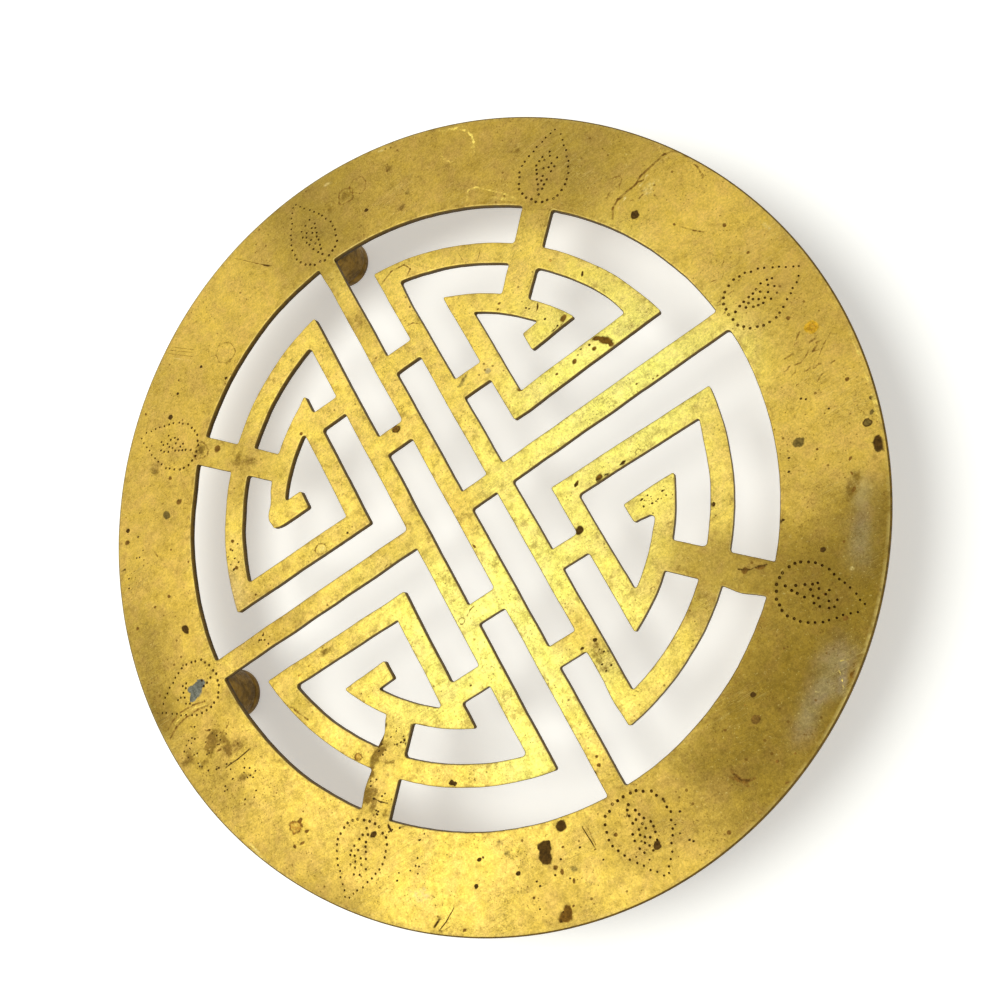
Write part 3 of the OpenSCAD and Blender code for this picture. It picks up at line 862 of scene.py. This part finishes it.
def onMetal(points, margin):
    # those of the points that lie on the metal, at least the margin inside the rim
    points = np.array(points)
    points = points[np.hypot(points[:, 0], points[:, 1]) < plate["rim"] - margin]
    return points[insideMetal(points)].tolist()


def loosePoints(border):
    # points between the edges and the dots: those of the marks, then a jittered grid
    spacing, loose = plate["grid"], plate["loose"]
    reach = int(plate["rim"] / spacing) + 1
    dice = random.Random(5)
    grid = [((i + 0.5 * (j % 2)) * spacing + dice.uniform(-loose, loose),
             j * spacing * plate["rows"] + dice.uniform(-loose, loose))
            for i in range(-reach, reach + 1) for j in range(-reach * 2, reach * 2)]
    edges = treeOf(border)
    dots = np.array([dot[:2] for dot in punchDots])
    kept = []
    for p in onMetal(markPoints(), plate["markMargin"]):
        offDot = np.min(np.hypot(dots[:, 0] - p[0], dots[:, 1] - p[1])) > keepOff["markDot"]
        if offDot and awayFrom(edges, p) > keepOff["markEdge"]:
            kept.append(p)
    marks = treeOf(kept)
    for p in onMetal(grid, plate["gridMargin"]):
        if awayFrom(edges, p) > keepOff["gridEdge"] and awayFrom(marks, p) > keepOff["gridMark"]:
            kept.append(p)
    single = {}
    for x, y in kept:
        single.setdefault((round(x / plate["cell"]), round(y / plate["cell"])), (x, y))
    return single.values()


def buildPlate():
    rim = rimLoop()
    edges = [(rim, [1.0] * len(rim), turnedRim)]
    edges += [(loop, share, sawnEdge) for loop, share in filed]
    top, bottom = plate["top"], plate["bottom"]
    points, wearAndGlint, dirtAndShade, faces, material = [], [], [], [], []
    flat, metalFaces = [], []      # what the flat faces are made of
    topIds, bottomIds = [], []

    def addPoint(x, y, z, rubbedAndLit=0.0, dirtyAndShaded=0.0):
        points.append((x, y, z))
        wearAndGlint.append(rubbedAndLit)
        dirtAndShade.append(dirtyAndShaded)
        return len(points) - 1

    def addFaces(made, look):
        faces.extend(made)
        material.extend([look] * len(made))

    def addLoopToFace(ring, upper, lower):
        first = len(flat)
        flat.extend(Vector(p) for p in ring)
        topIds.extend(upper)
        bottomIds.extend(lower)
        metalFaces.append(list(range(first, len(flat))))

    for outline, share, profile in edges:
        isTheRim = profile is turnedRim
        outward = np.array(outline) - insetLoop(outline, 1, [1.0] * len(outline))
        towardCamera = np.array(paintedLightSide) - np.array(outline)
        towardCamera /= np.linalg.norm(towardCamera, axis=1, keepdims=True)
        facingCamera = (outward * towardCamera).sum(1)      # 1 where the edge faces the camera: painted highlight there, painted shade where it faces away
        rings = []
        for n, (inset, down) in enumerate(profile):
            ring = insetLoop(outline, inset, share).tolist()
            onWall = shoulderRings <= n < lowerRings
            # wear, and a painted highlight on edges facing the camera; painted shade on edges
            # facing away from it
            worn = (wearAndGlintOfRimRing if isTheRim else wearAndGlintOfSawnRing)[n]
            rubbedAndLit = worn * (0.35 + 0.65 * np.clip(facingCamera, 0, 1))
            dirtyAndShaded = paintedShadeOfRing[n] * np.clip(0.25 - facingCamera, 0, 1)
            ids = []
            for (x, y), r, f in zip(ring, rubbedAndLit.tolist(), dirtyAndShaded.tolist()):
                sag = hollow(x, y) * (1 if n < shoulderRings else -plate["showsUnder"])
                z = top - down - (0 if onWall else sag)
                ids.append(addPoint(x, y, max(bottom, min(top, z)), r, f))
            rings.append(ids)
            if n == 0:
                faceRing = ring
        addLoopToFace(faceRing, rings[0], rings[-1])
        for n, (upper, lower) in enumerate(zip(rings, rings[1:])):
            # the rim's rounding and the sawn edges' steepest bevel take the darker wall finish: a
            # painted dark line of shade along the edge
            onFace = n < (1 if isTheRim else 2)
            addFaces(band(lower, upper), 0 if onFace else 1 if n < lowerRings else 2)

    handful = random.Random(77)
    for dx, dy, radius, paintedGlint in punchDots:
        upper, lower = [], []
        filth = handful.uniform(0.75, 1.0)
        for share, deep, under in dentRings:
            ring = [(dx + share * radius * math.cos(2 * math.pi * i / dentSides),
                     dy + share * radius * math.sin(2 * math.pi * i / dentSides))
                    for i in range(dentSides)]
            # some dots keep less dirt and get a painted glint: a bright middle
            left = leaves["dirtUnderGlint"] if paintedGlint and deep > 0.5 else 1
            dirtyAndShaded = filth * min(1, max(0, deep * leaves["filled"])) * left
            upper.append([addPoint(x, y, topAt(x, y) - deep * leaves["depth"], 0.0, dirtyAndShaded)
                          for x, y in ring])
            lower.append([addPoint(x, y, underAt(x, y) - under * leaves["depth"], under * 4)
                          for x, y in ring])
        addLoopToFace([points[i][:2] for i in upper[0]], upper[0], lower[0])
        upper.append([addPoint(dx, dy, topAt(dx, dy) - leaves["depth"],
                               0.8 if paintedGlint else 0.0, 0.0 if paintedGlint else filth)])
        lower.append([addPoint(dx, dy, underAt(dx, dy) - leaves["swelling"] * leaves["depth"],
                               1.0)])
        for outer, inner in zip(upper, upper[1:]):
            addFaces(band(outer, inner), 0)
        for outer, inner in zip(lower, lower[1:]):
            addFaces([face[::-1] for face in band(outer, inner)], 2)

    for x, y in loosePoints(flat):
        flat.append(Vector((x, y)))
        topIds.append(addPoint(x, y, topAt(x, y)))
        bottomIds.append(addPoint(x, y, underAt(x, y)))

    # the openings' loops run the other way round from the rim's and the dots'
    openings = slice(1, 1 + len(loops))
    metalFaces[openings] = [ids[::-1] for ids in metalFaces[openings]]
    _, _, triangles, origin, _, inFaces = delaunay_2d_cdt(flat, [], metalFaces, 0, 1e-7)
    source = [o[0] if o else None for o in origin]
    for triangle, owners in zip(triangles, inFaces):
        if 0 in owners and len(owners) == 1:
            a, b, c = (source[i] for i in triangle)
            addFaces([(topIds[a], topIds[b], topIds[c])], 0)
            addFaces([(bottomIds[c], bottomIds[b], bottomIds[a])], 2)
    return points, faces, material, wearAndGlint, dirtAndShade


platePoints, plateFaces, plateMaterial, plateWearAndGlint, plateDirtAndShade = buildPlate()
print("plate mesh:", len(platePoints), "points,", len(plateFaces), "faces")

# Node helpers


class Shade:
    # a few short ways to wire shader nodes
    def __init__(self, name, tree=None):
        if tree is None:
            self.material = bpy.data.materials.new(name)
            self.material.use_nodes = True
            tree = self.material.node_tree
        self.tree = tree
        self.tree.nodes.clear()

    def node(self, kind, **values):
        made = self.tree.nodes.new("ShaderNode" + kind)
        for k, v in values.items():
            setattr(made, k, v)
        return made

    def join(self, source, target):
        self.tree.links.new(source, target)

    def feed(self, socket, value):
        if isinstance(value, bpy.types.NodeSocket):
            self.join(value, socket)
        else:
            socket.default_value = value

    def math(self, operation, a, b=0.0, clamp=False):
        n = self.node("Math", operation=operation, use_clamp=clamp)
        self.feed(n.inputs[0], a)
        self.feed(n.inputs[1], b)
        return n.outputs[0]

    def times(self, a, b):
        return self.math("MULTIPLY", a, b)

    def total(self, *parts):
        # the sum of some values, each times its own weight
        whole, *others = [self.times(value, weight) for value, weight in parts]
        for part in others:
            whole = self.math("ADD", whole, part)
        return whole

    def vector(self, operation, a, b=(0, 0, 0), scale=None):
        n = self.node("VectorMath", operation=operation)
        self.feed(n.inputs[0], a)
        self.feed(n.inputs[1], b)
        if scale is not None:
            self.feed(n.inputs["Scale"], scale)
        return n.outputs["Value" if operation == "LENGTH" else 0]

    def fade(self, value, start, end, low=0.0, high=1.0):
        n = self.node("MapRange", interpolation_type="SMOOTHSTEP")
        self.feed(n.inputs["Value"], value)
        self.feed(n.inputs["From Min"], start)
        self.feed(n.inputs["From Max"], end)
        self.feed(n.inputs["To Min"], low)
        self.feed(n.inputs["To Max"], high)
        return n.outputs["Result"]

    def noise(self, vector, scale, detail=2.0, rough=0.5, warp=0.0):
        n = self.node("TexNoise")
        self.feed(n.inputs["Vector"], vector)
        n.inputs["Scale"].default_value = scale
        n.inputs["Detail"].default_value = detail
        n.inputs["Roughness"].default_value = rough
        n.inputs["Distortion"].default_value = warp
        return n.outputs[0]

    def vein(self, value, wide, thin):
        # 1 on the lines where a noise has its middle value
        off = self.math("ABSOLUTE", self.math("SUBTRACT", value, 0.5))
        return self.fade(off, wide, thin)

    def mix(self, share, a, b, blend="MIX"):
        n = self.node("Mix", data_type="RGBA", blend_type=blend)
        self.feed(n.inputs["Factor"], share)
        self.feed(n.inputs[6], a)
        self.feed(n.inputs[7], b)
        return n.outputs[2]

    def over(self, colour, tint, cover, strength):
        # the tint laid over the colour
        return self.mix(self.times(cover, strength), colour, tint)

    def painted(self, label):
        # what paint gave to the piece's points
        return self.node("Attribute", attribute_name=label).outputs

    def stretched(self, vector, scale, turn=0, shift=(0, 0, 0)):
        n = self.node("Mapping")
        self.join(vector, n.inputs["Vector"])
        n.inputs["Location"].default_value = shift
        n.inputs["Rotation"].default_value = (0, 0, math.radians(turn))
        n.inputs["Scale"].default_value = scale
        return n.outputs[0]

    def seen(self):
        # 1 for rays from the camera and from reflections, 0 for the light that a thing gives
        rays = self.node("LightPath").outputs
        mirrored = self.math("MAXIMUM", rays["Is Glossy Ray"], rays["Is Transmission Ray"])
        return self.math("MAXIMUM", rays["Is Camera Ray"], mirrored)

    def millimetres(self):
        # the point on the part, in millimetres
        where = self.node("TexCoord").outputs["Object"]
        return self.vector("SCALE", where, scale=1 / mm)

    def finish(self, colour, roughness, metal, height=None, bumpDepth=0.1):
        surface = self.node("BsdfPrincipled")
        self.feed(surface.inputs["Base Color"], colour)
        self.feed(surface.inputs["Roughness"], roughness)
        self.feed(surface.inputs["Metallic"], metal)
        surface.inputs["Specular IOR Level"].default_value = 0.3
        if height is not None:
            bump = self.node("Bump")
            bump.inputs["Strength"].default_value = 1.0
            bump.inputs["Distance"].default_value = bumpDepth * mm
            self.feed(bump.inputs["Height"], height)
            self.join(bump.outputs[0], surface.inputs["Normal"])
        out = self.node("OutputMaterial")
        self.join(surface.outputs[0], out.inputs[0])
        return self.material


# Brass finishes

brass = {
    "pitDirtAndShade": tone(84, 54, 18),           # dirt in the punched dots, and painted shade on edges facing away from the camera
    "freckle": tone(112, 80, 26),
    "grime": tone(126, 92, 34),        # caught along the edges
    "edge": tone(250, 230, 140),       # where the edges are rubbed bright, and their painted highlight and the dots' painted glints
    "bloom": 0.92,                     # how dark the mottling's dark side is
    "shine": 1.06,                     # and how bright its bright side
    "blush": (1.01, 0.98, 1.14),
    "lemon": (1.0, 1.0, 0.89),
    "depth": 0.925,                    # of all the tones together
    "metal": 0.96,
    "smoothness": (0.32, 0.52),        # least and most roughness
    "bump": 0.09,                      # mm of relief
}


def fineScratches(s, at, turn, spacing, seed):
    # thin parallel scratches, broken into short runs; 1 on a scratch
    turned = s.stretched(at, (0.05, 1 / spacing, 0.2), turn, (seed, seed * 1.7, 0))
    line = s.vein(s.noise(turned, 1.0, 2, 0.6), 0.010, 0.002)
    return s.times(line, s.fade(s.noise(at, 0.07, 2, 0.5), 0.46, 0.66))


def pinPricks(s, at, scale, size, softness):
    # round pits of corrosion, one in each cell of the pattern; 1 in a pit
    cells = s.node("TexVoronoi", feature="F1")
    s.join(at, cells.inputs["Vector"])
    cells.inputs["Scale"].default_value = scale
    return s.fade(s.math("SUBTRACT", size, cells.outputs["Distance"]), 0.0, softness)


def brokenBy(s, cover, grain, amount):
    # a cover whose soft edge is broken up by a noise, as a dried stain's is
    lifted = s.math("ADD", cover, s.times(s.math("SUBTRACT", grain, 0.5), amount))
    return s.times(s.fade(lifted, 0.22, 0.62), s.fade(cover, 0.0, 0.35))


def agedBrassFace():
    s = Shade("agedBrassFace")
    at = s.millimetres()
    colour, stain, mark = s.painted("tone")["Color"], s.painted("stain"), s.painted("mark")
    crust, dirtAndShade, wearAndGlint, edge = (s.painted(label)["Fac"]
                               for label in ("crust", "dirtAndShade", "wearAndGlint", "edge"))

    clouds = s.noise(at, 0.14, 5, 0.62, 0.2)
    mottle = s.noise(at, 0.62, 6, 0.74)
    grain = s.noise(at, 2.9, 4, 0.72)
    drawn = s.stretched(at, (0.13, 2.6, 0.3), 20)      # rolling grain of the sheet
    rolled = s.noise(drawn, 1.0, 3, 0.65)

    # broad stains first, broken up by the mottling, then clouds, mottling and grain
    colour = s.mix(brokenBy(s, stain["Alpha"], mottle, 1.1), colour, stain["Color"])
    shadeOf = s.fade(clouds, 0.34, 0.68, 1.04, 0.93)
    shadeOf = s.times(shadeOf, s.fade(mottle, 0.34, 0.68, brass["shine"], brass["bloom"]))
    shadeOf = s.times(shadeOf, s.fade(grain, 0.36, 0.66, 1.13, 0.85))
    shadeOf = s.times(shadeOf, s.fade(rolled, 0.36, 0.64, 1.03, 0.97))
    colour = s.vector("SCALE", colour, scale=shadeOf)
    blush = s.noise(at, 0.24, 4, 0.6)                  # some patches pinker, some greener
    colour = s.mix(s.fade(blush, 0.48, 0.62), colour, s.vector("MULTIPLY", colour, brass["blush"]))
    colour = s.mix(s.fade(blush, 0.48, 0.36), colour, s.vector("MULTIPLY", colour, brass["lemon"]))
    colour = s.mix(s.fade(mottle, 0.56, 0.72, 0, 0.20), colour, brass["freckle"])
    caught = s.fade(s.noise(at, 0.6, 5, 0.75), 0.48, 0.62)
    colour = s.over(colour, brass["grime"], s.times(edge, caught), 0.50)

    # crisp freckles and creases, in some places only
    speck = s.noise(at, 1.5, 5, 0.8)
    spread = s.noise(at, 0.11, 3, 0.6)
    freckles = s.times(s.fade(speck, 0.585, 0.64), s.fade(spread, 0.38, 0.60, 0.25, 1.0))
    colour = s.over(colour, brass["freckle"], freckles, 0.55)
    colour = s.over(colour, brass["edge"], s.fade(speck, 0.40, 0.35), 0.30)
    crease = s.vein(s.noise(at, 0.28, 3, 0.6, 1.2), 0.006, 0.001)
    crease = s.times(crease, s.fade(spread, 0.50, 0.62))
    colour = s.over(colour, brass["freckle"], crease, 0.40)
    hair = s.vein(s.noise(at, 0.8, 3, 0.65, 0.9), 0.018, 0.004)      # finer and closer ones
    hair = s.times(hair, s.fade(clouds, 0.40, 0.60))
    colour = s.over(colour, brass["freckle"], hair, 0.46)

    # pin pricks of corrosion, large ones and small ones
    size = s.fade(s.noise(at, 0.12, 3, 0.6), 0.40, 0.66, 0.0, 0.16)
    sizeSmall = s.fade(s.noise(at, 0.2, 2, 0.6), 0.40, 0.64, 0.0, 0.24)
    small = s.times(pinPricks(s, at, 1.4, sizeSmall, 0.09), 0.75)
    pricks = s.math("MAXIMUM", pinPricks(s, at, 0.52, size, 0.05), small)
    colour = s.over(colour, brass["freckle"], pricks, 0.70)

    # fine scratches in three directions, some bright, some dark
    bright = s.math("MAXIMUM", fineScratches(s, at, 12, 0.7, 3.0),
                    fineScratches(s, at, -38, 0.9, 8.0))
    dark = fineScratches(s, at, 64, 0.8, 15.0)
    colour = s.over(colour, brass["edge"], bright, 0.16)
    colour = s.over(colour, brass["freckle"], dark, 0.22)

    # crisp marks; edges rubbed bright in patches, brighter still with a painted highlight where
    # they face the camera, and painted glints in some dots; dirt in the dots, and painted shade on
    # edges that face away
    crisp = brokenBy(s, mark["Alpha"], s.noise(at, 1.7, 4, 0.75), 0.9)
    stained = s.vector("SCALE", mark["Color"], scale=s.fade(speck, 0.38, 0.62, 1.5, 0.75))
    colour = s.mix(crisp, colour, stained)
    rubbedAndLit = s.times(wearAndGlint, s.fade(s.noise(at, 0.5, 3, 0.6), 0.34, 0.6, 0.12, 0.7))
    colour = s.mix(rubbedAndLit, colour, brass["edge"])
    colour = s.over(colour, brass["pitDirtAndShade"], dirtAndShade, 0.97)

    low, high = brass["smoothness"]
    rougher = s.total((crust, 0.26), (pricks, 0.12), (rubbedAndLit, -0.08))
    roughness = s.math("ADD", s.fade(mottle, 0.3, 0.72, low, high), rougher, clamp=True)
    metal = s.math("SUBTRACT", brass["metal"], s.times(crust, 0.2), clamp=True)
    height = s.total((clouds, 1.6), (mottle, 0.26), (grain, 0.12), (rolled, 0.08),
                     (freckles, -0.16), (crust, 0.35), (pricks, -0.22), (bright, -0.08),
                     (dark, -0.12))
    return s.finish(colour, roughness, metal, height, brass["bump"])


def sawnBrassWall():
    s = Shade("sawnBrassWall")
    at = s.millimetres()
    mottle = s.noise(at, 0.9, 4, 0.7)
    # saw lines change quickly along the edge and slowly down it
    lines = s.noise(s.stretched(at, (4.0, 4.0, 0.5)), 1.0, 2, 0.6)
    split = s.node("SeparateXYZ")
    s.join(at, split.inputs[0])
    low = s.fade(split.outputs["Z"], plate["bottom"] + 1.1, plate["bottom"] + 0.3)
    colour = s.mix(s.fade(mottle, 0.35, 0.65), tone(76, 58, 18), tone(122, 94, 32))
    # painted shade: the wall is darker towards its bottom
    colour = s.over(colour, tone(52, 38, 16), low, 0.8)
    colour = s.mix(s.fade(lines, 0.5, 0.7, 0, 0.5), colour, tone(60, 44, 16))
    # rubbed bright, with a painted highlight on lower edges facing the camera
    colour = s.over(colour, tone(222, 190, 104), s.painted("wearAndGlint")["Fac"], 0.35)
    height = s.total((lines, 1), (mottle, 0.6))
    return s.finish(colour, s.fade(mottle, 0.3, 0.7, 0.42, 0.66), 0.9, height, brass["bump"])


def dullBrassUnderside():
    s = Shade("dullBrassUnderside")
    at = s.millimetres()
    clouds = s.noise(at, 0.12, 4, 0.62, 0.5)
    mottle = s.noise(at, 0.8, 5, 0.68)
    colour = s.mix(s.fade(clouds, 0.35, 0.68), tone(186, 154, 72), tone(120, 94, 42))
    colour = s.mix(s.fade(mottle, 0.50, 0.74, 0, 0.6), colour, tone(82, 62, 28))
    colour = s.over(colour, tone(226, 198, 112), fineScratches(s, at, 28, 0.7, 5.0), 0.35)
    # rubbed bright on the swellings under the dots, and a painted highlight on lower edges facing
    # the camera
    colour = s.over(colour, tone(216, 186, 100), s.painted("wearAndGlint")["Fac"], 0.4)
    height = s.total((clouds, 1.5), (mottle, 1))
    return s.finish(colour, s.fade(mottle, 0.3, 0.72, 0.40, 0.62), 0.85, height, brass["bump"])


def turnedBrassFoot():
    s = Shade("turnedBrassFoot")
    at = s.millimetres()
    clouds = s.noise(at, 0.35, 4, 0.65, 0.5)
    mottle = s.noise(at, 1.4, 4, 0.7)
    # lathe marks run round the peg, so they only change with height
    turned = s.noise(s.stretched(at, (0.12, 0.12, 5.0)), 1.0, 3, 0.6)
    colour = s.mix(s.fade(clouds, 0.36, 0.64), tone(146, 114, 42), tone(102, 78, 28))
    colour = s.mix(s.fade(mottle, 0.5, 0.74, 0, 0.6), colour, tone(70, 54, 22))
    colour = s.mix(s.fade(turned, 0.56, 0.7, 0, 0.16), colour, tone(150, 120, 50))
    height = s.total((turned, 1), (mottle, 0.5))
    return s.finish(colour, s.fade(mottle, 0.3, 0.7, 0.38, 0.6), 0.85, height, foot["bump"])


def dullSolder():
    s = Shade("dullSolder")
    at = s.millimetres()
    clouds = s.noise(at, 0.9, 4, 0.6, 0.6)
    grain = s.noise(at, 4.0, 3, 0.7)
    colour = s.mix(s.fade(clouds, 0.36, 0.64), tone(134, 132, 124), tone(88, 84, 74))
    colour = s.mix(s.fade(grain, 0.5, 0.75, 0, 0.5), colour, tone(62, 56, 42))
    height = s.total((clouds, 1), (grain, 0.3))
    return s.finish(colour, s.fade(grain, 0.3, 0.7, 0.42, 0.66), 0.8, height, solder["bump"])


faceBrass, wallBrass, underBrass = agedBrassFace(), sawnBrassWall(), dullBrassUnderside()
print("brass finishes made")

piercedPlate = meshPiece("fretPlate", platePoints, plateFaces,
                         [faceBrass, wallBrass, underBrass], plateMaterial)
*looks, faceCrust = faceLooks(np.array([p[:2] for p in platePoints]))
for label, values in (("wearAndGlint", plateWearAndGlint), ("dirtAndShade", plateDirtAndShade), ("crust", faceCrust),
                      ("edge", nearEdge(platePoints))):
    paint(piercedPlate, label, values)
for label, colours in zip(("tone", "stain", "mark"), looks):
    paint(piercedPlate, label, colours, "FLOAT_COLOR")
flatNormals = piercedPlate.modifiers.new("flatFaces", "WEIGHTED_NORMAL")
flatNormals.keep_sharp = True
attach(piercedPlate, "root")
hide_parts("pierced_plate")
print("plate dressed")

# Feet and solder

foot = {
    "sides": 96,
    # height from the table, radius: a turned peg with two fine tool lines and a worn lower edge
    "profile": [(0.0, 0.0), (0.0, 1.1), (0.12, 1.5), (0.05, 2.2), (0.0, 3.2), (0.0, 3.9),
                (0.05, 4.3), (0.2, 4.66), (0.45, 4.87), (0.8, 4.97), (2.1, 5.0), (2.3, 4.93),
                (2.5, 4.93), (2.7, 5.0), (5.5, 4.97), (9.0, 4.95), (11.6, 4.98), (11.8, 4.9),
                (12.0, 4.9), (12.2, 4.99), (14.6, 5.0), (15.0, 4.95), (15.0, 0.0)],
    "wobble": 0.02,
    "bump": 0.08,
}
solder = {
    "sides": 64,
    # height, radius of the fillet; the wide end of each ring is uneven
    "profile": [(15.05, 4.4), (13.95, 4.9), (13.86, 5.06), (14.02, 5.13), (14.4, 5.24),
                (14.72, 5.5), (14.9, 5.85), (14.99, 6.12), (15.06, 6.22), (15.1, 6.14)],
    "even": 4.95,         # radius up to which the rings are even
    "lumps": 0.16,        # how far they stray beyond it, as shares of the way out
    "grains": 0.05,
    "drawnIn": 0.1,
    "bump": 0.18,
}


def lathe(profile, sides, middle, uneven):
    points, faces, rings = [], [], []
    for z, r in profile:
        first = len(points)
        if r == 0:
            points.append((middle[0], middle[1], z))
        else:
            for i in range(sides):
                a = 2 * math.pi * i / sides
                rr, zz = uneven(a, r, z)
                points.append((middle[0] + rr * math.cos(a), middle[1] + rr * math.sin(a), zz))
        rings.append(range(first, len(points)))
    for lower, upper in zip(rings, rings[1:]):
        faces += band(lower, upper)
    return points, faces


footBrass, greySolder = turnedBrassFoot(), dullSolder()
for side in ("right", "back", "left", "front"):
    low, high = (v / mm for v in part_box("foot_" + side))
    middle = ((low.x + high.x) / 2, (low.y + high.y) / 2)
    seed = middle[0] * 0.3 + middle[1] * 0.7

    def worn(a, r, z):
        return r + foot["wobble"] * (waveRound(a, 2, z * 0.5 + seed) - 1), z

    def drawn(a, r, z):
        lump = solder["lumps"] * waveRound(a, 1.6, seed)
        grain = solder["grains"] * waveRound(a, 6, seed + z)
        return r + max(0.0, r - solder["even"]) * (lump + grain - solder["drawnIn"]), z

    points, faces = lathe(foot["profile"], foot["sides"], middle, worn)
    peg = meshPiece("turnedFoot_" + side, points, faces, [footBrass], [0] * len(faces))
    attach(peg, "root")
    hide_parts("foot_" + side)

    points, faces = lathe(solder["profile"], solder["sides"], middle, drawn)
    faces.append(tuple(range(solder["sides"]))[::-1])
    faces.append(tuple(range(len(points) - solder["sides"], len(points))))
    bead = meshPiece("solderBead_" + side, points, faces, [greySolder], [0] * len(faces))
    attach(bead, "root")
    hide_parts("solder_" + side)
print("feet and solder dressed")

# Table and light

studio = {
    "tableHalf": 3.0,          # metres
    "table": (0.94, 0.945, 0.88, 1),
    "tableGlow": 0.37,         # what the camera sees on top of the light on the table
    "whiteFrom": 0.25,         # metres from the trivet where the table starts to fade to white
    "whiteAt": 1.2,            # and where it is white
    "room": (1.0, 1.0, 0.99, 1),
    "roomSeen": 1.0,           # the room's strength for the camera and for reflections
    "roomLight": 0.36,         # and for the light that it gives
    # name, place in metres, width, watts, whether the brass mirrors it
    "lamps": [("windowLight", (-0.61, 0.35, 1.21), 1.0, 12.0, False),
              ("ceilingLight", (-0.52, 0.14, 1.25), 0.8, 1.6, True)],
}

half = studio["tableHalf"]
table = bpy.data.meshes.new("paleTable")
table.from_pydata([(-half, -half, 0), (half, -half, 0), (half, half, 0), (-half, half, 0)],
                  [], [(0, 1, 2, 3)])
tableTop = bpy.data.objects.new("paleTable", table)
bpy.context.scene.collection.objects.link(tableTop)

paper = Shade("whitePaper")
card = paper.node("BsdfDiffuse")
card.inputs["Color"].default_value = studio["table"]
glow = paper.node("Emission")
away = paper.vector("LENGTH", paper.node("NewGeometry").outputs["Position"])
share = paper.fade(away, studio["whiteFrom"], studio["whiteAt"], studio["tableGlow"], 1.0)
paper.join(paper.times(paper.seen(), share), glow.inputs["Strength"])
both = paper.node("AddShader")
paper.join(card.outputs[0], both.inputs[0])
paper.join(glow.outputs[0], both.inputs[1])
paper.join(both.outputs[0], paper.node("OutputMaterial").inputs[0])
table.materials.append(paper.material)

world = bpy.data.worlds.new("softRoom")
bpy.context.scene.world = world
world.use_nodes = True
air = Shade("softRoom", world.node_tree)
sky = air.node("Background")
sky.inputs["Color"].default_value = studio["room"]
strength = air.fade(air.seen(), 0, 1, studio["roomLight"], studio["roomSeen"])
air.join(strength, sky.inputs["Strength"])
air.join(sky.outputs[0], air.node("OutputWorld").inputs[0])

for name, place, spread, watts, mirrored in studio["lamps"]:
    light = bpy.data.lights.new(name, "AREA")
    light.shape = "DISK"
    light.size = spread
    light.energy = watts
    lampObject = bpy.data.objects.new(name, light)
    lampObject.location = place
    lampObject.visible_glossy = mirrored
    lampObject.rotation_euler = (-Vector(place)).to_track_quat("-Z", "Y").to_euler()
    bpy.context.scene.collection.objects.link(lampObject)
print("table and light set")

bpy.context.scene.view_settings.view_transform = "Standard"

print("done")
